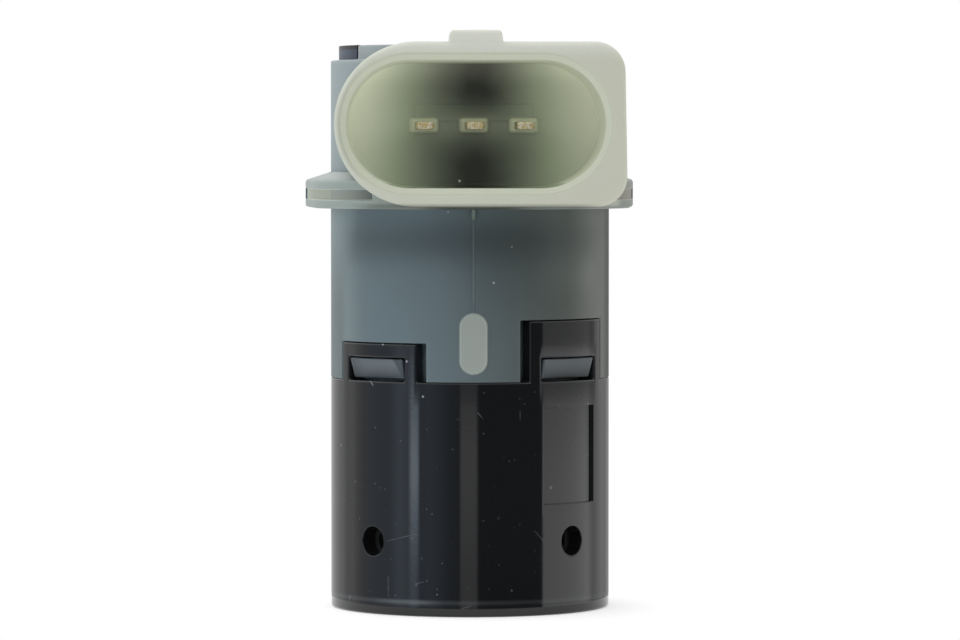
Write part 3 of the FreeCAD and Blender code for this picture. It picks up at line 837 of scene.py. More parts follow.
# A layer is a tint, its share and its steps. Layers lie on each other in this order.
housingLook = {
    "body": tint(72, 77, 71),
    "bodyLayers": {
        # painted light: the body lighter towards the lit left and at both side edges
        "left": (tint(103, 119, 125), 1.0, ("x", 11.0, -6.0)),
        "leftEdge": (tint(122, 136, 138), 1.0, ("x", -8.8, -11.6), ahead),
        "farRight": (tint(102, 106, 101), 1.0, ("x", 7.6, 10.6), ahead),
        # painted shadow under the ledge
        "compoundHigh": (tint(52, 60, 60), 0.42, ("aside", 11.4, 9.6), ahead,
                         ("z", 28.6, 31.6), ("z", 31.4, 34.2, 1.0, 0.2)),
        # darker middle: compound behind the translucent wall, partly painted shade
        "compoundMiddle": (tint(52, 60, 60), 0.35, ("fromCloud", 7.0, 1.5), ahead,
                           ("z", 22.0, 31.0), ("z", 31.4, 34.2, 1.0, 0.3)),
    },
    "bodyShades": {
        # painted light and shade: lighter under the ledge and in bands at the sides, darker at both
        # silhouette edges
        "high": (0.3, ("z", 32.0, 34.4)),
        "right": (0.24, ("x", 4.5, 7.5), ("x", 11.2, 9.8), ("z", 26.0, 29.5)),
        "left": (0.14, ("x", -9.5, -10.3), ("z", 30.0, 33.0)),
        "rightEdge": (-0.66, ("x", 11.15, 11.8)),
        "leftEdge": (-0.3, ("x", -10.5, -11.3), ("z", 33.0, 25.0)),
    },
    "bodyShaded": (("z", 34.5, 34.3), ahead),
    "cloudX": 3.5,
    "topLayers": {
        "topLeft": (tint(150, 162, 164), 1.0, ("z", 35.6, 38.0), ("x", -4.0, -9.0), ("y", 7.5, 0.5)),
        "rim": (tint(160, 168, 168), 1.0, ("z", 46.6, 47.1)),
    },
    # hooks: the right one in painted shade, both darker towards the bottom and at the far left, with a
    # painted shadow over their inner upper corner
    "hook": tint(104, 114, 120),
    "hookRight": {"right": (tint(86, 92, 95), 1.0, ("x", -3.0, 3.0))},
    "hookShade": (("z", 20.0, 21.4, 0.62, 0.98), ("x", -8.8, -10.3, 1.0, 0.65)),
    "hookSlants": (0.55, 0.28),
    "hookEndShadow": {"end": (tint(68, 78, 84), 1.0, ("slanted", 5.9, 5.76))},
    "hooksLeft": (("x", 1.0, -1.0),),
    "onHook": (("alongHook", 3.6, 3.3), ("radius", 10.6, 10.9), ("z", 22.1, 21.9), ("z", 19.2, 19.7)),
    "ovalLayers": {
        "oval": (tint(158, 166, 160), 1.0, ("fromOval", 0.04, -0.04), onOvalSide),
        "ovalRim": (tint(170, 178, 172), 0.6, ("byOval", 0.12, 0.03), onOvalSide),
        "partingLine": (tint(120, 132, 132), 0.35, ("aside", 0.12, 0.06), ("radius", 12.01, 12.04),
                        ("z", 26.0, 27.0), ("z", 34.6, 34.3), ahead),
    },
    "ledge": tint(148, 160, 155),
    "ledgeLayers": {
        # painted light and shade on the ledge: the right wing darker, the upward ramp lighter, and painted
        # shade along its lower front edge
        "rightWing": (tint(134, 139, 132), 1.0, ("x", 6.0, 12.0)),
        "front": (tint(156, 166, 157), 1.0, ("aside", 11.0, 6.0)),
        "ramp": (tint(170, 178, 174), 1.0, ("z", 36.6, 37.2)),
        "low": (tint(84, 94, 86), 1.0, ("aside", 5.5, 2.0), ("z", 35.3, 34.9)),
    },
    "onLedge": (("radius", 12.05, 12.5), ("z", 34.2, 34.4)),
    # the gusset in painted shade, with a painted highlight along its left edge
    "gusset": tint(96, 108, 102),
    "gussetLeft": {"left": (tint(150, 160, 152), 1.0, ("x", -0.1, -0.16))},
    "onGusset": (("aside", 0.3, 0.2), ("radius", 12.02, 12.1), ("z", 34.5, 34.4), ("z", 33.2, 33.4), ahead),
    # the slot's thin wall: painted light comes through it, the right side darker, with painted dark lines of
    # shade at the wing ends
    "slot": tint(186, 189, 180),
    "slotLayers": {
        "right": (tint(164, 163, 156), 1.0, ("x", -1.0, 1.0)),
        "leftEnd": (tint(70, 86, 96), 1.0, atWingEnd, ("x", 1.0, -1.0)),
        "rightEnd": (tint(104, 108, 110), 1.0, atWingEnd, ("x", -1.0, 1.0)),
    },
    "inSlot": (("z", ledge["slotLow"] - 0.06, ledge["slotLow"] + 0.04),
               ("z", ledge["slotHigh"] + 0.06, ledge["slotHigh"] - 0.04),
               ("aside", ledge["slotInner"] - 0.3, ledge["slotInner"] + 0.1),
               ("y", -14.5, -13.5), ("y", ledge["slotBack"] + 0.1, ledge["slotBack"] + 0.02)),
    "onSlotWall": (("radius", 12.03, 12.1),),
    "slotFloor": (("radius", 12.1, 12.03), ("aside", 6.7, 11.0)),
    # painted light: emission on the slot's wall and floor
    "slotWallGlow": 0.42,
    "slotGlow": 0.32,
    "ivory": tint(200, 204, 190),
    # painted light and shade: the shroud's top lighter and its sides darker
    "ivoryLayers": {
        "right": (tint(200, 202, 186), 1.0, ("x", -12.0, 12.0)),
        "top": (tint(214, 216, 206), 1.0, ("z", 46.5, 48.2)),
        "side": (tint(172, 176, 164), 1.0, ("y", -20.2, -19.6)),
    },
    "roundX": -4.9,
    "onShroud": (("fromRound", 6.95, 6.7), ("y", -11.5, -13.0)),
    # painted shade along the shroud's lower edge
    "underShroud": (("z", 35.05, 34.72), ("z", 34.3, 34.45), ("y", -12.6, -13.4), ("aside", 11.0, 8.0)),
    "underShade": -0.42,
    "mouthLayers": {
        # the nub's top painted lighter, like the shroud's top: painted light
        "nub": (tint(214, 216, 206), 1.0, ("aside", 2.7, 2.5), ("z", 48.2, 48.35), ("y", -17.0, -17.6)),
        "bevel": (tint(202, 206, 188), 1.0, ("fromBore", -0.02, 0.08),
                  ("fromBore", shroud["bevel"], shroud["bevel"] - 0.08), ("y", -20.3, -20.5)),
        "rimLine": (tint(176, 180, 164), 0.4, ("byRim", 0.12, 0.02), ("y", -20.7, -20.8)),
    },
    "rimLine": 0.12,
    "inBore": (("fromBore", 0.06, -0.02), ("y", -20.75, -20.4), ("y", -12.1, -12.2)),
    # the socket's walls and floor, the right end a little darker: painted shade
    "bore": tint(212, 218, 200),
    "boreRight": {"right": (tint(202, 206, 184), 1.0, ("x", -10.0, 10.0))},
    "boreShade": tint(239, 254, 235),
    # painted shade: the socket darker deeper in and over its lower wall, and towards the middle of the floor,
    # where the board shows through
    "coreDark": tint(28, 37, 28),
    "coreX": 0.1,
    "coreReach": (("z", 43.0, 38.0, 12.0, 13.0),),
    "coreCloud": (0.92, 0.16),
    "boreShaded": (("shadow", 0.05, 0.6),),
    "depth": (("y", -20.8, -13.0),),
    "onFloor": (("y", -13.6, -12.6),),
    "onWall": (("y", -13.2, -13.8),),
    "lowWall": (("toMiddle", -4.7, -5.0),),
    "wallShade": 0.85,
    "bandZ": 41.4,
    "bandSpread": 1.6,
    "bandShare": 0.2,
    # the bosses painted lighter, with a painted glow through them
    "boss": tint(168, 172, 142),
    "onBoss": (("column", detail["bossWidth"] / 2 + 0.1, detail["bossWidth"] / 2 - 0.5),
               ("offMiddle", detail["bossHeight"] / 2 + 0.15, 0.35),
               ("y", -12.5, -12.65), ("y", -13.2, -12.9), ("aside", bladePitch * 1.5, bladePitch * 1.4)),
    "bossShare": 0.8,
    "bossGlow": 0.16,
    "speck": tint(208, 212, 206),
    # place, size and strength
    "specks": (
        (-1.18, -12.4, 36.77, 0.13, 1.0),
        (-2.13, -11.81, 34.16, 0.09, 0.7),
        (1.7, -11.87, 28.2, 0.12, 0.55),
        (3.24, -11.55, 31.22, 0.08, 0.5),
    ),
    # painted light: emission in the socket and on its bevel, standing in for light through the thin walls
    "glowTint": tint(227, 229, 203),
    "glowHeights": {
        "least": (0.45,),
        "middle": (0.25, ("z", 37.0, 45.5)),
        "high": (0.25, ("z", 42.0, 46.0)),
        "top": (0.35, ("z", 44.8, 47.0)),
    },
    "glowEnds": {
        "middle": (1.0,),
        "left": (0.25, ("x", -5.0, -9.5)),
        "right": (-0.1, ("x", 7.0, 10.0)),
    },
    "floorGlow": 0.22,
    "wallGlow": 0.1,
    "mouthGlow": 0.11,
    "topLit": (("z", 44.4, 46.6),),
    "topGlow": 0.06,
    "leastGlow": 0.01,
    "bevelLit": (("z", 39.0, 46.0),),
    "bevelGlow": 0.05,
    "mottle": (0.97, 0.06),
    "roughness": (0.42, 0.08),
    "softness": 0.3,
    "softReach": 0.0012,
    "bump": (0.12, 0.00004),
}


def bodyPaint(s, at):  # the body, its hooks and the oval, in painted light and shade: lighter on the left and at the side edges, a painted shadow under the ledge, and darker where compound lies behind the wall, partly painted shade
    look = housingLook
    colour = s.painted(at, look["body"], look["bodyLayers"])
    colour = s.shaded(colour, 1.0 + s.total(at, look["bodyShades"]) * s.mask(at, look["bodyShaded"]))
    colour = s.painted(at, colour, look["topLayers"])

    # a painted shadow over each hook's inner upper corner, along a slant
    onLeft = s.mask(at, look["hooksLeft"])
    leftSlant, rightSlant = look["hookSlants"]
    slant = (at["z"] - detail["hookLow"]) * leftSlant * onLeft + rightSlant * (1.0 - onLeft)
    at["slanted"] = at["aside"] - slant
    hook = s.painted(at, look["hook"], look["hookRight"])
    hook = s.painted(at, s.shaded(hook, s.mask(at, look["hookShade"])), look["hookEndShadow"])
    colour = s.blend(s.mask(at, look["onHook"]), colour, hook)
    return s.painted(at, colour, look["ovalLayers"])


def ledgePaint(s, at, colour):
    look = housingLook
    colour = s.blend(s.mask(at, look["onLedge"]), colour, s.painted(at, look["ledge"], look["ledgeLayers"]))
    gusset = s.painted(at, look["gusset"], look["gussetLeft"])
    colour = s.blend(s.mask(at, look["onGusset"]), colour, gusset)
    slot, inSlot = s.painted(at, look["slot"], look["slotLayers"]), s.mask(at, look["inSlot"])
    onWall = inSlot * s.mask(at, look["onSlotWall"])
    # painted light: emission through the slot's thin wall and floor
    light = onWall * look["slotWallGlow"] + inSlot * s.mask(at, look["slotFloor"]) * look["slotGlow"]
    return s.blend(onWall, colour, slot), s.shaded(slot, light)


def shroudPaint(s, at, colour, glow):  # ivory outside, with a lighter top, darker sides and painted shade along its lower edge; the socket in painted shade deeper in, and dark towards the middle of its floor, where the board shows through
    look = housingLook
    colour = s.blend(s.mask(at, look["onShroud"]), colour, s.painted(at, look["ivory"], look["ivoryLayers"]))
    colour = s.shaded(colour, 1.0 + s.mask(at, look["underShroud"], look["underShade"]))
    colour = s.painted(at, colour, look["mouthLayers"])

    inBore, depth, onFloor, onWall, lowWall, onBoss = [s.mask(at, look[name]) for name in (
        "inBore", "depth", "onFloor", "onWall", "lowWall", "onBoss")]
    # painted shade in the socket: darkest in the middle of the floor, and deeper in
    dark = s.smooth(s.size(at["x"] - look["coreX"]), s.mask(at, look["coreReach"]), 0.0)
    bandZ = (at["z"] - look["bandZ"]) / look["bandSpread"]
    lightBand = s.math("POWER", math.e, bandZ * bandZ * -1.0)
    least, span = look["coreCloud"]
    core = dark * (1.0 - lightBand * dark * dark * look["bandShare"]) * (least + at["cloud"] * span)
    shadow = core * s.math("MAXIMUM", onFloor + (1.0 - onFloor) * depth * look["wallShade"], lowWall)
    at["shadow"] = shadow
    bore = s.painted(at, look["bore"], look["boreRight"])
    bore = s.blend(s.mask(at, look["boreShaded"]), bore, look["boreShade"], "MULTIPLY")
    colour = s.blend(inBore, colour, s.blend(shadow, bore, look["coreDark"]))
    # the bosses painted lighter, and given a painted glow below
    onBoss = onBoss * inBore
    colour = s.blend(onBoss * look["bossShare"], colour, look["boss"])

    # painted light: emission that stands in for faint light coming through the thin walls
    light = onFloor * look["floorGlow"] + depth * look["wallGlow"]
    light = light * s.total(at, look["glowHeights"]) * s.total(at, look["glowEnds"]) * (1.0 - shadow)
    light = light + onWall * (1.0 - lowWall * shadow) * look["mouthGlow"]
    light = light + onFloor * s.mask(at, look["topLit"]) * look["topGlow"] + depth * look["leastGlow"]
    onBevel = s.mask(at, look["mouthLayers"]["bevel"][2:])
    light = inBore * light + onBevel * s.mask(at, look["bevelLit"]) * look["bevelGlow"]
    glow = s.added(glow, s.shaded(look["glowTint"], light))
    return colour, s.added(glow, s.shaded(look["boss"], onBoss * look["bossGlow"]))


def housingPlastic():
    material, s, place = newMaterial("housingPlastic")
    look = housingLook
    x, y, z = s.axes(place, 1 / mm)
    aside, toMiddle = s.size(x), z - shroud["socketZ"]
    cloud, grain = s.noise(place, 220.0, 2.0), s.noise(place, 4200.0, 2.0)
    ovalHalf = detail["ovalWidth"] / 2
    pastOval = s.math("MAXIMUM", s.size(z - detail["ovalZ"]) - (detail["ovalHeight"] / 2 - ovalHalf), 0.0)
    fromOval = s.length(aside, pastOval) - ovalHalf
    pastBore = s.math("MAXIMUM", aside - (shroud["halfWidth"] - shroud["halfHeight"]), 0.0)
    fromBore = s.length(pastBore, toMiddle) - shroud["halfHeight"]
    at = {
        "x": x, "y": y, "z": z, "aside": aside, "toMiddle": toMiddle, "cloud": cloud,
        "radius": s.length(x, y),
        "fromCloud": s.size(x - look["cloudX"]),
        "alongHook": s.size(aside - s.size(y)) * math.sqrt(0.5),
        "fromOval": fromOval,
        "byOval": s.size(fromOval),
        "fromRound": s.length(s.math("MINIMUM", x - look["roundX"], 0.0), toMiddle),
        "fromBore": fromBore,
        "byRim": s.size(fromBore - (shroud["bevel"] - look["rimLine"])),
        "column": s.math("PINGPONG", aside, bladePitch / 2),
        "offMiddle": s.size(toMiddle),
    }
    colour, glow = ledgePaint(s, at, bodyPaint(s, at))
    colour, glow = shroudPaint(s, at, colour, glow)
    for px, py, pz, size, strength in look["specks"]:
        distance = s.length(x - px, y - py, z - pz)
        colour = s.blend(s.smooth(distance, size, size * 0.5) * strength, colour, look["speck"])
    least, span = look["mottle"]
    colour = s.shaded(colour, (least + grain * span) * (least + cloud * span))
    rough, roughSpan = look["roughness"]
    s.finish({"Base Color": colour, "Roughness": rough + grain * roughSpan, "IOR": 1.52,
              "Subsurface Weight": look["softness"], "Subsurface Radius": (1.0, 0.9, 0.8),
              "Subsurface Scale": look["softReach"], "Specular IOR Level": 0.3,
              "Emission Color": glow, "Emission Strength": 1.0}, s.noise(place, 2600.0, 3.0), *look["bump"])
    return material


plasticGrey = housingPlastic()


def tabRecesses():  # azimuth, half angle and top of the room for each tab
    inner, outer = detail["recessInnerGap"], detail["recessOuterGap"]
    found = []
    for azimuth, rise in zip(sleeve["tabAzimuths"], sleeve["tabRises"]):
        shift = (inner - outer) / 2 * math.sin(math.radians(2 * azimuth))
        found.append((azimuth - shift, sleeve["tabHalfAngle"] + (inner + outer) / 2,
                      shared["sleeveTop"] + rise + detail["recessGap"]))
    return found


def bodyShell():
    outer, bore, low = shared["radius"], shared["rimBore"], shared["sleeveTop"]
    neck, cavity, rim = body["neckRadius"], body["cavityRadius"], outer - body["rimStep"]
    recesses = tabRecesses()
    azimuths = sidesOf((-90, 90), body["notchHalfAngle"])
    for centre, half, top in recesses:
        azimuths |= sidesOf([centre], half)
    heights = [housingLow.z, low] + sorted({top for centre, half, top in recesses})
    heights += [coverLow.z, body["top"], body["rimTop"]]

    def cell(azimuth, z):
        if z < low:
            return (neck, cavity)
        if z > body["top"]:
            notched = any(within(azimuth, side, body["notchHalfAngle"]) for side in (-90, 90))
            return None if notched else (rim, bore)
        if z > coverLow.z:
            return (outer, bore)
        recessed = any(within(azimuth, centre, half) and z < top for centre, half, top in recesses)
        return (neck if recessed else outer, cavity)

    def share(middle):
        outside = middle.z > low + near and math.hypot(middle.x, middle.y) > bore - 0.1
        return 1.0 if outside else body["innerShare"]

    made = polarShell("housing_moulding", azimuths, heights, cell, radialBreaks=(rim,))
    return rounded(made, body["edge"], 2, rule=share)


def shroudOuter(inset):
    fullHalf = shroud["top"] - shroud["socketZ"]
    half, corner = fullHalf - inset, shroud["corner"] - inset
    roundX = fullHalf - shroud["leftReach"]
    arc, side, lean = shroud["arcSteps"], shroud["sideSteps"], shroud["lean"]
    cornerZ = fullHalf - shroud["corner"]
    slope = math.radians(lean)
    topX, lowX = [shroud["rightReach"] - z * math.tan(slope) - shroud["corner"] / math.cos(slope)
                  for z in (cornerZ, -cornerZ)]
    across, rise = corner * math.cos(slope), corner * math.sin(slope)
    return (arcPoints((roundX, 0), half, 270, 90, arc) + linePoints((roundX, half), (topX, half), side)
            + arcPoints((topX, cornerZ), corner, 90, lean, arc // 3)
            + linePoints((topX + across, cornerZ + rise), (lowX + across, rise - cornerZ), arc // 3)
            + arcPoints((lowX, -cornerZ), corner, lean, -90, arc // 3)
            + linePoints((lowX, -half), (roundX, -half), side))


def shroudInner(growth):
    radius, arc, side = shroud["halfHeight"] + growth, shroud["arcSteps"], shroud["sideSteps"]
    middle = shroud["halfWidth"] - shroud["halfHeight"]
    return (arcPoints((-middle, 0), radius, 270, 90, arc)
            + linePoints((-middle, radius), (middle, radius), side)
            + arcPoints((middle, 0), radius, 90, -90, arc)
            + linePoints((middle, -radius), (-middle, -radius), side))


def shroudShell():
    mouth, depth, soft, draft = shroud["mouth"], shroud["depth"], shroud["softEdge"], shroud["draft"]
    bevel, bevelDepth, steps = shroud["bevel"], shroud["bevelDepth"], shroud["rootSteps"]

    def loop(points, reach):
        return [(x, -reach, shroud["socketZ"] + z) for x, z in points]

    loops = []
    for n in range(1, steps + 1):  # the root lies inside the body's round wall
        root = [(x * n / steps, z * n / steps) for x, z in shroudOuter(0)]
        loops.append([(x, -max(shroud["root"], math.sqrt(max(0, shroud["rootRadius"] ** 2 - x * x))),
                       shroud["socketZ"] + z) for x, z in root])
    loops += [loop(shroudOuter(inset), mouth - behind) for behind, inset in quarterRound(shroud["rim"])]
    # growth of the bore's outline, and how far behind the mouth
    for growth, behind in ((bevel + soft, 0.0), (bevel, soft * 0.15), (bevel - soft, soft * 0.55),
                           (soft, bevelDepth - soft * 0.5), (soft * 0.3, bevelDepth + soft * 0.1),
                           (0.0, bevelDepth + soft), (-draft, depth - soft * 2),
                           (-draft - soft * 0.6, depth - soft * 0.6), (-draft - soft * 2, depth)):
        loops.append(loop(shroudInner(growth), mouth - behind))
    return lofted("shroud", loops)


def ledgeOutline(inset):
    half, back, shoulder = ledge["halfWidth"] - inset, ledge["back"] - inset, ledge["shoulder"]
    frontHalf, wide, corner = half - ledge["taper"], ledge["wideFrom"] - inset, ledge["corner"]
    rise = ledge["frontReach"] - inset - shoulder
    radius = (frontHalf * frontHalf + rise * rise) / (2 * rise)
    centreY = -ledge["frontReach"] + inset + radius
    start = math.degrees(math.atan2(-shoulder - centreY, frontHalf))
    return (arcPoints((0, centreY), radius, -180 - start, start, 96)
            + linePoints((frontHalf, -shoulder), (half, wide), 8)
            + linePoints((half, wide), (half, back - corner), 4)
            + arcPoints((half - corner, back - corner), corner, 0, 90, 8)
            + linePoints((half - corner, back), (corner - half, back), 24)
            + arcPoints((corner - half, back - corner), corner, 90, 180, 8)
            + linePoints((-half, back - corner), (-half, wide), 4)
            + linePoints((-half, wide), (-frontHalf, -shoulder), 8))


def ledgeShell():
    edge, low, high, ramp = ledge["edge"], ledge["low"], ledge["edgeHigh"], ledge["rampHigh"]
    levels = ((low, edge), (low + edge * 0.3, edge * 0.3), (low + edge, 0), (high - edge, 0),
              (high, edge * 0.6), (ramp - 0.05, ledge["rampRun"]), (ramp, ledge["rampRun"] + 0.2))
    made = lofted("ledge", [[(x, y, z) for x, y in ledgeOutline(inset)] for z, inset in levels])
    cuts = []
    for side in (-1, 1):
        ends = sorted((side * ledge["slotInner"], side * (ledge["halfWidth"] + 1)))
        cuts.append(block("slot", (ends[0], -shroud["mouth"], ledge["slotLow"]),
                          (ends[1], ledge["slotBack"], ledge["slotHigh"])))
    core = [(x, y, low - 1) for x, y in arcPoints((0, 0), ledge["coreRadius"], 0, 360, 120)]
    cuts.append(prism("core", core, (0, 0, 2 * (ramp - low))))
    front = shroud["mouth"] + 1
    inside = [(x, -front, shroud["socketZ"] + z) for x, z in shroudOuter(ledge["shroudInset"])]
    cuts.append(prism("inside", inside, (0, front - shroud["root"] - 0.1, 0)))
    return combined(made, "DIFFERENCE", *cuts)


def hookWedges():
    tangent, neck = math.tan(math.radians(detail["hookHalfAngle"])), body["neckRadius"]
    inside = neck - detail["hookSunk"]
    loops = []
    for z, reach in ((detail["hookLow"], neck + detail["hookLowReach"]),
                     (detail["hookTop"], neck + detail["hookTopReach"])):
        loops.append([(x * tangent, -abs(x), z) for x in (-inside, -reach, reach, inside)])
    made = rounded(lofted("hooks", loops), detail["hookEdge"])
    return copied(made, ringTree, {"Count": 4, "First": math.radians(45), "Step": math.radians(90),
                                   "Material": plasticGrey})


def ovalPad():
    outline = [(x, 1 - shared["radius"], z + detail["ovalZ"])
               for z, x in stadium(detail["ovalHeight"] / 2, detail["ovalWidth"] / 2)]
    return rounded(prism("oval", outline, (0, -1 - detail["ovalRise"], 0)), detail["ovalEdge"], 2, 60)


def partingRidge():
    half, radius = detail["ridgeWidth"] / 2, shared["radius"]
    made = block("ridge", (-half, -radius - detail["ridgeRise"], shared["sleeveTop"] + 0.1),
                 (half, 1 - radius, ledge["low"] + 0.2))
    return rounded(made, detail["ridgeEdge"], 2)


def gusset():
    half, low, radius = detail["gussetWidth"] / 2, ledge["low"], shared["radius"]
    inside, reach, foot = radius - 1, radius + detail["gussetReach"], low - detail["gussetHeight"]
    outline = [(-half, -y, z) for y, z in ((inside, low + 0.3), (reach, low + 0.3), (reach, low),
                                           (radius - 0.05, foot), (inside, foot))]
    return rounded(prism("gusset", outline, (2 * half, 0, 0)), detail["gussetEdge"], 2)


def latchNub():
    low, high = shroud["top"] - detail["nubSunk"], housingHigh.z
    top = detail["nubTopHalfWidth"]
    wide = detail["nubHalfWidth"] + 0.2 * (detail["nubHalfWidth"] - top)
    outline = [(x, 0.003 - shroud["mouth"], z)
               for x, z in ((-wide, low), (wide, low), (top, high), (-top, high))]
    made = prism("nub", outline, (0, detail["nubLength"], 0))
    return rounded(made, detail["nubEdge"], 4, rule=lambda middle: 1.0 if middle.z > high - near else 0.5)


def floorForm(name, halfWidth, low, high, rise, edge, segments):  # a low form on the socket's floor
    reach = shroud["mouth"] - shroud["depth"]
    made = block(name, (-halfWidth, -reach - rise, low), (halfWidth, detail["floorSunk"] - reach, high))
    return rounded(made, edge, segments)


def bossRow():
    bladeZ, half = (bladeLow.z + bladeHigh.z) / 2, detail["bossHeight"] / 2
    made = floorForm("bosses", detail["bossWidth"] / 2, bladeZ - half, bladeZ + half,
                     detail["bossRise"], detail["bossEdge"], 3)
    return copied(made, rowTree, {"Count": 3, "Pitch": bladePitch, "Material": plasticGrey})


def floorBar():
    return floorForm("bar", detail["barHalfLength"], detail["barLow"], detail["barHigh"],
                     detail["barRise"], detail["barEdge"], 2)


def housingPiece():
    made = bodyShell()
    front = combined(shroudShell(), "UNION", latchNub(), bossRow(), floorBar())
    combined(made, "UNION", ledgeShell(), front, hookWedges(), partingRidge(), gusset(), ovalPad())
    combined(made, "DIFFERENCE", bladeRow("blade_cut", 0.0))
    finished(made, plasticGrey, "housing_plastic", "housing")


housingPiece()
bladesPiece()
print("housing and blades ready")


# Cover

cover = {
    "edge": 0.2,
    "lowerShare": 0.3,
    "play": 0.1,
    "hub": 2.0,
    "lugHalfAngle": 30.2,
    "lugRadius": 11.3,
    "lugLow": 47.05,
    "tints": (tint(40, 55, 71), tint(51, 69, 87)),
    # painted shade: near-black over the top edge and the top face
    "topEdgeShade": tint(12, 14, 18),
    "topFrom": (coverHigh.z - 0.42, coverHigh.z - 0.3),
}


def coverPlastic():
    material, s, place = newMaterial("coverPlastic")
    cloud, grain = s.noise(place, 300.0, 3.0), s.noise(place, 3000.0, 2.0)
    # painted shade on the top edge
    onTop = s.smooth(s.axes(place, 1 / mm)[2], *cover["topFrom"])
    colour = s.blend(onTop, s.blend(s.smooth(cloud, 0.4, 0.62), *cover["tints"]), cover["topEdgeShade"])
    s.finish({"Base Color": s.shaded(colour, 0.9 + grain * 0.2), "Roughness": 0.34 + grain * 0.1},
             grain, 0.15, 0.00004)
    return material


def coverPiece():
    def cell(azimuth, z):
        lugged = z > cover["lugLow"] and any(within(azimuth, side, cover["lugHalfAngle"])
                                             for side in (-90, 90))
        return (cover["lugRadius"] if lugged else shared["rimBore"] - cover["play"], cover["hub"])

    made = polarShell("cover_lid", sidesOf((-90, 90), cover["lugHalfAngle"]),
                      [coverLow.z, cover["lugLow"], coverHigh.z], cell, solid=True)
    rounded(made, cover["edge"],
            rule=lambda middle: 1.0 if middle.z > coverHigh.z - near else cover["lowerShare"])
    finished(made, coverPlastic(), "cover_plastic", "top_cover")


coverPiece()
print("cover ready")


# Inner pieces keep their own meshes and get finishes

# name, colour and roughness, then metallic, scale and spread where they differ
innerFinishes = {
    "piezo_disc": ("silveredCeramic", (190, 184, 165), 0.4, 0.2),
    "absorber_pad": ("foamPad", (70, 70, 70), 0.85),
    "damping_plug": ("siliconeFill", (48, 48, 50), 0.6),
    "isolator_disc": ("softDisc", (66, 66, 68), 0.8),
    "piezo_lead": ("redInsulation", (150, 36, 30), 0.45),
    "cup_lead": ("blackInsulation", (36, 36, 38), 0.45),
    "circuit_board": ("solderResist", (34, 92, 56), 0.4, 0.0, 1400.0, 0.15),
    "transformer_core_upper": ("ferriteBlock", (62, 62, 66), 0.55),
    "transformer_bobbin": ("bobbinMoulding", (78, 76, 72), 0.5),
    "transformer_winding": ("enamelledCopper", (184, 106, 56), 0.3, 0.9, 2500.0),
    "control_chip": ("chipMoulding", (42, 42, 44), 0.5),
    "buffer_capacitor": ("brushedCan", (186, 186, 190), 0.3, 0.9),
    "chip_resistors": ("firedCeramic", (150, 138, 118), 0.5),
    "solder_joints": ("brightSolder", (196, 198, 202), 0.25, 0.9),
    "potting": ("setCompound", (38, 42, 46), 0.35),
}
sameFinish = {
    "transformer_core_lower": "transformer_core_upper",
    "diode": "control_chip",
    "chip_capacitors": "chip_resistors",
}
innerMaterials = {node: plainFinish(name, tint(*colour), *rest)
                  for node, (name, colour, *rest) in innerFinishes.items()}
for node in list(innerFinishes) + list(sameFinish):
    slots = nodes[node].data.materials
    slots.clear()
    slots.append(innerMaterials[sameFinish.get(node, node)])
print("inner finishes ready")


# Floor, world and camera

studio = {
    "floorRadius": 18.0,
    "floorGap": 0.02,
    "floorColour": 0.8,
    "floorLift": 0.4,
    "dome": 1.1,
    "lower": 0.95,
    "dark": 0.06,
    "cool": (0.85, 1.0, 1.19, 1.0),
    # soft panels: two azimuths, and how softly each side ends
    "rightPanel": (61.0, 120.0, 1.8, 10.0),
    "leftPanel": (-125.0, -52.0, 12.0, 12.0),
    "leftDip": (-112.0, -66.0, 14.0, 8.0),
    "leftStrip": (-51.9, -44.4, 2.4, 1.4),
    "leftTail": (-53.0, -25.0, 6.0, 14.0),
    "leftInner": (-41.0, -10.0, 6.0, 3.0),
    "frontBand": (-9.4, 4.6, 1.4, 1.4),
    "coolPanel": (-94.0, -13.0, 14.0, 3.0),
    "rightStrength": 1.36,
    "leftStrength": 0.85,
    "dipStrength": 0.4,
    "stripStrength": (0.3, 2.4),
    "tailStrength": 0.3,
    "innerStrength": 0.12,
    "bandStrength": (0.5, 0.4),
    "behind": {
        "right": (0.66, ("azimuth", 118.0, 130.0)),
        "rightFar": (-0.24, ("azimuth", 138.0, 150.0)),
        "left": (0.66, ("azimuth", -120.0, -135.0)),
    },
    "brightest": (("elevation", -2.5, -3.4), ("elevation", -4.7, -3.7)),
    "rising": (("elevation", -2.0, -3.8, 0.4, 1.0),),
    "above": (("elevation", 5.0, 13.0),),
    "below": (("elevation", -9.0, -17.0),),
    "leftward": (("azimuth", 60.0, -60.0, 0.85, 1.15),),
}


def floorDisc():
    points = [pointAt(360 * n / 96, studio["floorRadius"], -studio["floorGap"]) * mm for n in range(96)]
    mesh = bpy.data.meshes.new("floor")
    mesh.from_pydata(points, [], [range(len(points))])
    if mesh.polygons[0].normal.z < 0:
        mesh.flip_normals()
    made = linkNew("floor", mesh)
    material, s = newMaterial("floorWhite")[:2]
    shade = studio["floorColour"]
    matt = s.node("ShaderNodeBsdfDiffuse", None, {"Color": (shade, shade, shade, 1)})
    camera, glossy, through = [s.node("ShaderNodeLightPath", None, None, n) for n in (0, 3, 6)]
    strength = s.math("MINIMUM", camera + glossy + through, 1.0) * studio["floorLift"]
    glow = s.node("ShaderNodeEmission", None, {"Color": (1, 1, 1, 1), "Strength": strength})
    both = s.node("ShaderNodeAddShader", None, {0: matt, 1: glow})
    clear = s.node("ShaderNodeBsdfTransparent")
    fromBelow = s.node("ShaderNodeNewGeometry", None, None, "Backfacing")
    shown = s.node("ShaderNodeMixShader", None, {0: fromBelow, 1: both, 2: clear})
    s.node("ShaderNodeOutputMaterial", None, {"Surface": shown})
    mesh.materials.append(material)


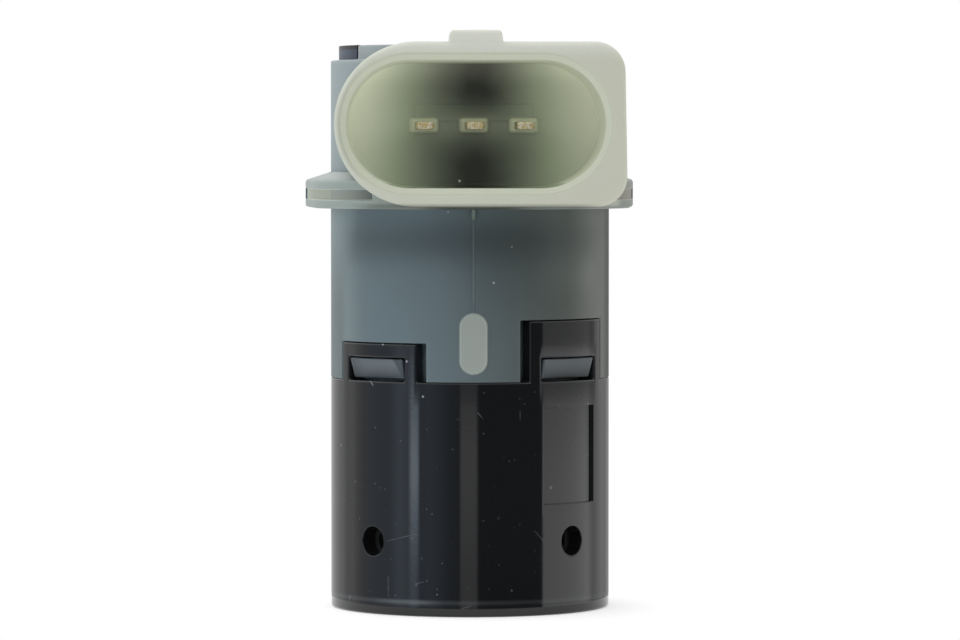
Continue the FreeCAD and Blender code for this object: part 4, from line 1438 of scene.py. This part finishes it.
def studioWorld():
    world = bpy.data.worlds.new("studio")
    bpy.context.scene.world = world
    world.use_nodes = True
    s = Graph(world.node_tree)
    x, y, z = s.axes(s.node("ShaderNodeTexCoord"))
    at = {"azimuth": s.math("ARCTAN2", x, y * -1.0) * (180 / math.pi),
          "elevation": s.math("ARCSINE", z) * (180 / math.pi)}

    def panel(name):
        low, high, softLow, softHigh = studio[name]
        return s.mask(at, (("azimuth", low - softLow, low + softLow),
                           ("azimuth", high + softHigh, high - softHigh)))

    brightest, rising, above, below, leftward = [s.mask(at, studio[name]) for name in (
        "brightest", "rising", "above", "below", "leftward")]
    low = studio["dark"] + s.total(at, studio["behind"])
    low = low + panel("rightPanel") * rising * studio["rightStrength"]
    low = low + panel("leftPanel") * (studio["leftStrength"] - panel("leftDip") * studio["dipStrength"])
    stripLeast, stripMore = studio["stripStrength"]
    low = low + panel("leftStrip") * (brightest * stripMore + stripLeast)
    low = low + panel("leftTail") * studio["tailStrength"] + panel("leftInner") * studio["innerStrength"]
    bandLeast, bandMore = studio["bandStrength"]
    low = low + panel("frontBand") * (bandLeast + brightest * bandMore) * (0.5 + rising * 0.5)
    camera = s.node("ShaderNodeLightPath")
    level = 1.0 - above - below
    light = low * level + above * leftward * studio["dome"] + below * studio["lower"]
    cool = panel("coolPanel") * level * (1.0 - camera)
    background = s.node("ShaderNodeBackground", None, {
        "Color": s.blend(cool, (1, 1, 1, 1), studio["cool"]), "Strength": light * (1.0 - camera) + camera})
    s.node("ShaderNodeOutputWorld", None, {"Surface": background})


view = {
    "lens": 191.0,
    "place": (-10.75, -439.87, 39.75),
    "yaw": 1.5128,
    "pitch": -1.9628,
}


def camera():
    data = bpy.data.cameras.new("camera")
    data.lens = view["lens"]
    data.sensor_width = 36.0
    data.clip_start = 0.01
    data.clip_end = 10.0
    made = linkNew("camera", data)
    made.location = Vector(view["place"]) * mm
    yaw, pitch = math.radians(view["yaw"]), math.radians(view["pitch"])
    forward = Vector((math.sin(yaw) * math.cos(pitch), math.cos(yaw) * math.cos(pitch), math.sin(pitch)))
    made.rotation_mode = "QUATERNION"
    made.rotation_quaternion = forward.to_track_quat("-Z", "Y")
    bpy.context.scene.camera = made


floorDisc()
studioWorld()
camera()
bpy.context.scene.view_settings.view_transform = "Standard"
print("studio ready")
